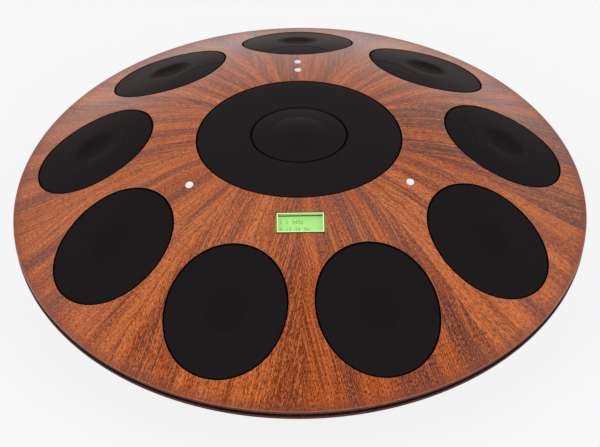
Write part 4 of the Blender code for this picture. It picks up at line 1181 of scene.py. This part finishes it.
def push_buttons():
    """Dished caps with a soft lip, a flange under the wood and a stem."""
    for name, (matrix, radius) in BUTTONS.items():
        seat = SIDE_BUTTON_CIRCLE if radius == SIDE_BUTTON_RADIUS else BACK_BUTTON_CENTRE
        flange = -square_depth(TOP_WALL, seat) - CURVED_GAP
        flange_low = flange - BUTTON_FLANGE_WALL
        stem = flange_low - BUTTON_STEM
        brim = radius + BUTTON_FLANGE
        lip = radius * 0.80
        dish = [(lip * share, BUTTON_PROUD - BUTTON_DISH * (1 - share ** 2)) for share in spread(0.0, 1.0, 9)]
        sides = rounded([
            dish[-1] + (0,), (radius, BUTTON_PROUD, 0.55 * MM), (radius, flange, 0),
            (brim, flange, SOFT / 2), (brim, flange_low, SOFT / 2), (BUTTON_STEM_RADIUS, flange_low, 0),
            (BUTTON_STEM_RADIUS, stem, FINE), (0.0, stem, 0),
        ], steps=5)
        mesh = turned(dish + sides[1:], ROUND_STEPS)
        add_piece(name + "_cap", mesh, "button_moulding", matrix, name)


def speakers():
    """Drivers with a rolled surround, a curved paper cone and a dust cap."""
    for side in SIDES:
        middle, radius, low, high = round_box("speaker_" + side)
        height = high - low
        collar = height - MAGNET_HEIGHT
        width = CONE_RADIUS - CONE_CAP_RADIUS
        roll = [(ROLL_MIDDLE + ROLL_HALF * cos(turn), CONE_RECESS + ROLL_RISE * sin(turn))
                for turn in spread(0.0, pi, 9)]
        cone = [(CONE_CAP_RADIUS + width * share, CONE_RECESS + CONE_DEPTH * (1 - share ** 0.8))
                for share in spread(0.98, 0.0, 10)]
        cap = [(CONE_CAP_RADIUS * share, CONE_DEPTH + CONE_RECESS - DUST_CAP_RISE * (1 - share ** 2))
               for share in spread(0.97, 0.0, 7)]
        back = rounded([
            (0.0, height, 0), (MAGNET_RADIUS, height, 0.8 * MM), (MAGNET_RADIUS, collar + 1 * MM, FULL),
            (MAGNET_RADIUS - 1.5 * MM, collar, 0), (radius - SPEAKER_LIP, SPEAKER_LIP, FULL),
            (radius, SPEAKER_LIP, 0.4 * MM), (radius, 0.0, 0.4 * MM), (roll[0][0], 0.0, 0),
        ])
        mesh = turned(back + roll + cone + cap, RING_STEPS)
        add_piece("driver_" + side, mesh, "cone_paper", at(middle.x, middle.y, low),
                  "speaker_" + side)


def grilles():
    """Round plates with close-packed six-sided holes, every edge eased."""
    def hole_at(place):
        return lambda offset: [(place.x + x, place.y + y) for x, y in hexagon(GRILLE_HOLE + offset, 36)]

    row_step = GRILLE_PITCH * math.sqrt(3) / 2
    for side in SIDES:
        middle, radius, low, high = round_box("speaker_grille_" + side)
        plan = Plan()
        plan.add_edge(ring_at(radius, RING_STEPS), GRILLE_EDGE, (GRILLE_GUARD,), -1)
        for row in range(-3, 4):
            for column in range(-4, 5):
                place = Vector(((column + row / 2) * GRILLE_PITCH, row * row_step))
                if place.length <= radius - GRILLE_HOLE - (high - low):
                    plan.add_edge(hole_at(place), SOFT, (SOFT,))
        mesh = plan.plate(lambda x, y: low, lambda x, y: high, -1, 1.0)
        add_piece("grille_" + side, mesh, "powder_coat", at(middle.x, middle.y, 0.0),
                  "speaker_grille_" + side)


def bevelled(build, size, steps):
    bmesh.ops.bevel(build, geom=build.edges, offset=size, segments=steps, profile=0.5, affect='EDGES')


def box_mesh(low, high, bevel=0.0, steps=3):
    build = bmesh.new()
    place = at(*(Vector(low) + Vector(high)) / 2) @ Matrix.Diagonal((*(Vector(high) - Vector(low)), 1.0))
    bmesh.ops.create_cube(build, size=1.0, matrix=place)
    if bevel:
        bevelled(build, bevel, steps)
    return to_mesh(build)


def carved(mesh, steps):
    """Result of boolean steps on a mesh, as a mesh of its own."""
    things = [place_object("blank", mesh)]
    for operation, tool_mesh, matrix in steps:
        tool_mesh.transform(matrix)
        things.append(place_object("tool", tool_mesh))
        modifier = things[0].modifiers.new("carve", 'BOOLEAN')
        modifier.operation = operation
        modifier.object = things[-1]
        modifier.solver = 'EXACT'
    result = bpy.data.meshes.new_from_object(things[0].evaluated_get(bpy.context.evaluated_depsgraph_get()))
    for thing in things:
        bpy.data.objects.remove(thing)
    result.materials.clear()
    return smoothed(result, 35)


def bay():
    """Pocket in the back of the bowl, trimmed flush with its curve, with soft inner corners."""
    past = 10 * MM
    through = 4 * BAY_WALL
    block = box_mesh(BAY_LOW, (BAY_HIGH.x, LOWER_RADIUS + past, BAY_HIGH.z))
    hollow_low = (BAY_LOW.x + BAY_WALL, PANEL_FACE, BAY_LOW.z - past)
    hollow_high = (BAY_HIGH.x - BAY_WALL, LOWER_RADIUS + 2 * past, BAY_HIGH.z - BAY_WALL)
    curve = [(radius, bowl_height(radius)) for radius in spread(LOWER_RADIUS, BOWL_FLAT, 40)]
    inside = turned([(0.0, UPPER_RIM), (LOWER_RADIUS, UPPER_RIM)] + curve + [(0.0, BASE)], RIM_STEPS)
    phones = turned([(0.0, -through), (PHONES_RING, -through), (PHONES_RING, through), (0.0, through)])
    usb_z = USB_HALF_Z + GAP
    usb = box_at(USB_HALF_X + GAP, usb_z, usb_z * 0.7)
    usb = skinned(capped(loops_at(usb, [(0, -through), (0, through)])))
    rocker = Vector((ROCKER_WIDTH / 2 + HOLE_GAP, through, ROCKER_HEIGHT / 2 + HOLE_GAP))
    mesh = carved(block, [
        ('DIFFERENCE', box_mesh(hollow_low, hollow_high, 1.5 * MM, 4), Matrix()),
        ('INTERSECT', inside, Matrix()),
        ('DIFFERENCE', phones, PHONES_SEAT),
        ('DIFFERENCE', usb, USB_SEAT),
        ('DIFFERENCE', box_mesh(-rocker, rocker), at(*ROCKER_PLACE)),
    ])
    add_piece("socket_bay", mesh, "bay_moulding", node="connector_bay")


def phones_jack():
    """Headphone socket: a moulded body with a bright ring round its mouth."""
    radius = PHONES_RING - GAP
    body = (PHONES_HIGH.x - PHONES_LOW.x) / 2
    behind = -BAY_WALL - GAP
    end = behind - PHONES_DEPTH
    profile = rounded([
        (0.0, -PHONES_DEPTH, 0), (PHONES_BORE, -PHONES_DEPTH, 0), (PHONES_BORE, PHONES_NOSE * 0.5, FINE),
        (radius * 0.72, PHONES_NOSE * 0.7, FINE), (radius, PHONES_NOSE * 0.5, FINE), (radius, behind, 0),
        (body, behind, SOFT), (body, end, SOFT), (0.0, end, 0),
    ])
    add_piece("phones_jack", turned(profile, ROUND_STEPS), "socket_moulding", PHONES_SEAT,
              "phones_socket")
    inner = PHONES_BORE * 1.15
    outer = radius * 0.86
    ring = rounded([(inner, SOFT, 0), (outer, SOFT, 0), (outer, PHONES_NOSE, 0.15 * MM),
                    (inner, PHONES_NOSE, 0.25 * MM)], closed=True)
    mesh = turned(ring, ROUND_STEPS, closed=True)
    add_piece("phones_ring", mesh, "nickel_steel", PHONES_SEAT)


def usb_jack():
    """Charging socket: a drawn shell with rounded ends, a tongue in its middle and its contacts."""
    back = USB_LOW.y - USB_HIGH.y
    wall = USB_WALL
    contact_back = back + 3 * wall
    contact_front = -1.3 * MM

    def outline(offset):
        half_z = USB_HALF_Z + offset
        return rounded_box(USB_HALF_X + offset, half_z, half_z * 0.92, side_steps=4)

    rows = loops_at(outline, [(-HAIR, back), (0, back + HAIR), (0, -HAIR), (-HAIR, 0), (-wall + HAIR, 0),
                              (-wall, -HAIR), (-wall, back + 2 * wall)])
    add_piece("usb_shell", skinned(capped(rows)), "nickel_steel", USB_SEAT, "usb_socket")
    tongue_x = USB_HALF_X - 1.2 * MM
    tongue_y = 0.4 * MM
    tongue = box_mesh((-tongue_x, -tongue_y, back + wall), (tongue_x, tongue_y, -0.9 * MM), 0.12 * MM, 2)
    add_piece("usb_tongue", tongue, "socket_moulding", USB_SEAT)
    build = bmesh.new()
    corners = [(dx * MM, dy * MM) for dx, dy in ((-0.17, -0.05), (0.17, -0.05), (0.17, 0.05), (-0.17, 0.05))]
    for y in (-tongue_y, tongue_y):
        for index in range(USB_CONTACTS):
            x = (index - (USB_CONTACTS - 1) / 2) * USB_CONTACT_PITCH
            rows = [[(x + dx, y + dy, z) for dx, dy in corners] for z in (contact_back, contact_front)]
            add_rows(build, capped(rows, x, y))
    add_piece("usb_contacts", to_mesh(build), "contact_plating", USB_SEAT)


def rocker_switch():
    """Rocker with eased edges, and a bar and a ring on its two halves."""
    half = ROCKER_HEIGHT / 2 - HOLE_GAP
    rise = half * math.tan(ROCKER_TILT)
    back = rise - ROCKER_DEPTH
    outline = [(rise, half), (back, half / 2), (back, -half / 2), (rise, -half), (0.0, 0.0)]
    build = bmesh.new()
    sides = [[build.verts.new((x, y, z)) for y, z in outline] for x in (-ROCKER_WIDTH / 2, ROCKER_WIDTH / 2)]
    build.faces.new(sides[0])
    build.faces.new(sides[1])
    for here in range(5):
        after = (here + 1) % 5
        build.faces.new((sides[0][here], sides[0][after], sides[1][after], sides[1][here]))
    bmesh.ops.recalc_face_normals(build, faces=build.faces)
    bevelled(build, 0.35 * MM, 3)
    seat = at(*ROCKER_PLACE) @ Matrix.Rotation(-ROCKER_TILT, 4, 'X')
    add_piece("rocker_cap", to_mesh(build), "rocker_moulding", seat, "power_switch")
    inner = 0.75 * MM
    outer = 1.15 * MM
    bar = box_mesh((-0.22 * MM, -1.0 * MM, MARK_LOW), (0.22 * MM, 1.0 * MM, MARK_HIGH), 0.03 * MM, 2)
    ring = [(inner, MARK_LOW), (outer, MARK_LOW), (outer, MARK_HIGH), (inner, MARK_HIGH)]
    ring = turned(ring, 36, closed=True)
    for sign, name, mesh in ((1, "rocker_bar", bar), (-1, "rocker_ring", ring)):
        place = at(0.0, rise / 2, sign * half / 2) @ Matrix.Rotation(-sign * ROCKER_TILT, 4, 'X') @ LIE_BACK
        add_piece(name, mesh, "switch_marking", seat @ place, body="power_switch")


def dress_hidden_nodes():
    """Materials of the solids that stay as they are."""
    looks = {
        "sensor_deck": "deck_moulding", "centre_sensor": "sensor_brass_sheet",
        "display_window": "clear_cover", "main_board": "solder_mask", "battery_pack": "shrink_wrap",
    }
    for place in ("left", "right", "back"):
        looks["switch_board_" + place] = "solder_mask"
    for number in range(1, PAD_COUNT + 1):
        looks[f"pad_sensor_{number}"] = "sensor_brass_sheet"
    for node, look in looks.items():
        for holder in frame["nodes"][node].material_slots:
            holder.material = LOOKS[look]


# Camera: seen from the player's side, square to the display
CAMERA_RISE = radians(41.808)
CAMERA_DISTANCE = 2.0725
CAMERA_DIP = math.atan(21.64 / 2276.9)
CAMERA_ROLL = radians(0.62)
CAMERA_YAW = radians(0.21)
CAMERA_LENS = 136.61


def camera():
    data = bpy.data.cameras.new("photo_camera")
    data.sensor_fit = 'HORIZONTAL'
    data.sensor_width = 36.0
    data.lens = CAMERA_LENS
    data.clip_end = 100.0
    aim = at(0.0, 0.0, RIM_TOP) @ Matrix.Rotation(-CAMERA_YAW, 4, 'Z')
    aim = aim @ Matrix.Rotation(radians(90) - CAMERA_RISE, 4, 'X') @ at(0, 0, CAMERA_DISTANCE)
    aim = aim @ Matrix.Rotation(-CAMERA_DIP, 4, 'X') @ Matrix.Rotation(-CAMERA_ROLL, 4, 'Z')
    bpy.context.scene.camera = place_object("photo_camera", data, aim)


# Studio: the white seen by the camera, the even fill, what gloss shows from front (0) to back (1), the lights
FLOOR_REACH = 9.0
WHITE = 0.95
FILL = 0.62
GLOSS_SKY = ((0.35, 0.0), (0.44, 0.06), (0.51, 0.26), (0.57, 0.80), (0.64, 1.30), (0.75, 0.96), (0.87, 0.60),
             (1.0, 1.15))
LIGHT_RISE = radians(38)
LIGHT_DISTANCE = 2.6
LIGHT_SIZE = 1.5
LIGHT_POWER = 22


def grey(level):
    return (level, level, level, 1.0)


def floor():
    """Pale floor: it shows white to the camera and in reflections, and keeps a faint shadow."""
    finish = Finish(bpy.data.materials.new("pale_floor"), {"Roughness": 0.9, SPECULAR: 0.0})
    speckle = finish.noise(finish.place(), 30.0)
    finish.shade("Base Color", finish.ramp(speckle, (0.3, (0.88, 0.88, 0.88)), (0.7, (0.90, 0.90, 0.90))))
    path = finish.node("LightPath")
    seen = finish.math('MAXIMUM', path["Is Glossy Ray"], path["Is Transmission Ray"])
    share = finish.times(finish.math('MAXIMUM', path["Is Camera Ray"], seen), 0.90)
    glow = finish.node("Emission", {"Color": grey(WHITE)})[0]
    surface = finish.join(share, finish.shader.outputs[0], glow)
    finish.feed(finish.nodes["Material Output"].inputs["Surface"], surface)
    mesh = turned([(0.0, 0.0), (FLOOR_REACH, 0.0)], 64)
    mesh.materials.append(finish.owner)
    place_object("floor", mesh)


def world():
    """White to the camera, an even fill for diffuse light, and in gloss a studio that is pale behind."""
    finish = Finish(bpy.data.worlds.new("studio"))
    bpy.context.scene.world = finish.owner

    def background(colour):
        return finish.node("Background", {"Color": colour})[0]

    depth = finish.node("SeparateXYZ", {0: finish.node("TexCoord")["Generated"]})["Y"]
    depth = finish.node("MapRange", {"Value": depth, "From Min": -1.0})["Result"]
    sky = finish.ramp(depth, *[(position, grey(level)[:3]) for position, level in GLOSS_SKY])
    path = finish.node("LightPath")
    lit = finish.join(path["Is Glossy Ray"], background(grey(FILL)), background(sky))
    seen = finish.join(path["Is Camera Ray"], lit, background(grey(WHITE)))
    finish.feed(finish.nodes["World Output"].inputs["Surface"], seen)


def area_light(name, azimuth):
    """Soft light that points at the pan from an azimuth, 0 being the player's side."""
    data = bpy.data.lights.new(name, 'AREA')
    data.shape = 'DISK'
    data.size = LIGHT_SIZE
    data.energy = LIGHT_POWER
    turn = Matrix.Rotation(radians(azimuth), 4, 'Z') @ Matrix.Rotation(radians(90) - LIGHT_RISE, 4, 'X')
    light = place_object(name, data, at(0, 0, RIM_TOP) @ turn @ at(0, 0, LIGHT_DISTANCE))
    light.visible_glossy = False


wooden_top()
strike_pads()
centre_pads()
seam_gasket()
wooden_bowl()
board_posts()
SCREW = screw_mesh()
feet(SCREW)
rim_screws(SCREW)
display()
push_buttons()
speakers()
grilles()
bay()
phones_jack()
usb_jack()
rocker_switch()
dress_hidden_nodes()
floor()
world()
area_light("front_left", -50)
area_light("front_right", 50)
camera()

bpy.context.scene.view_settings.view_transform = 'Standard'
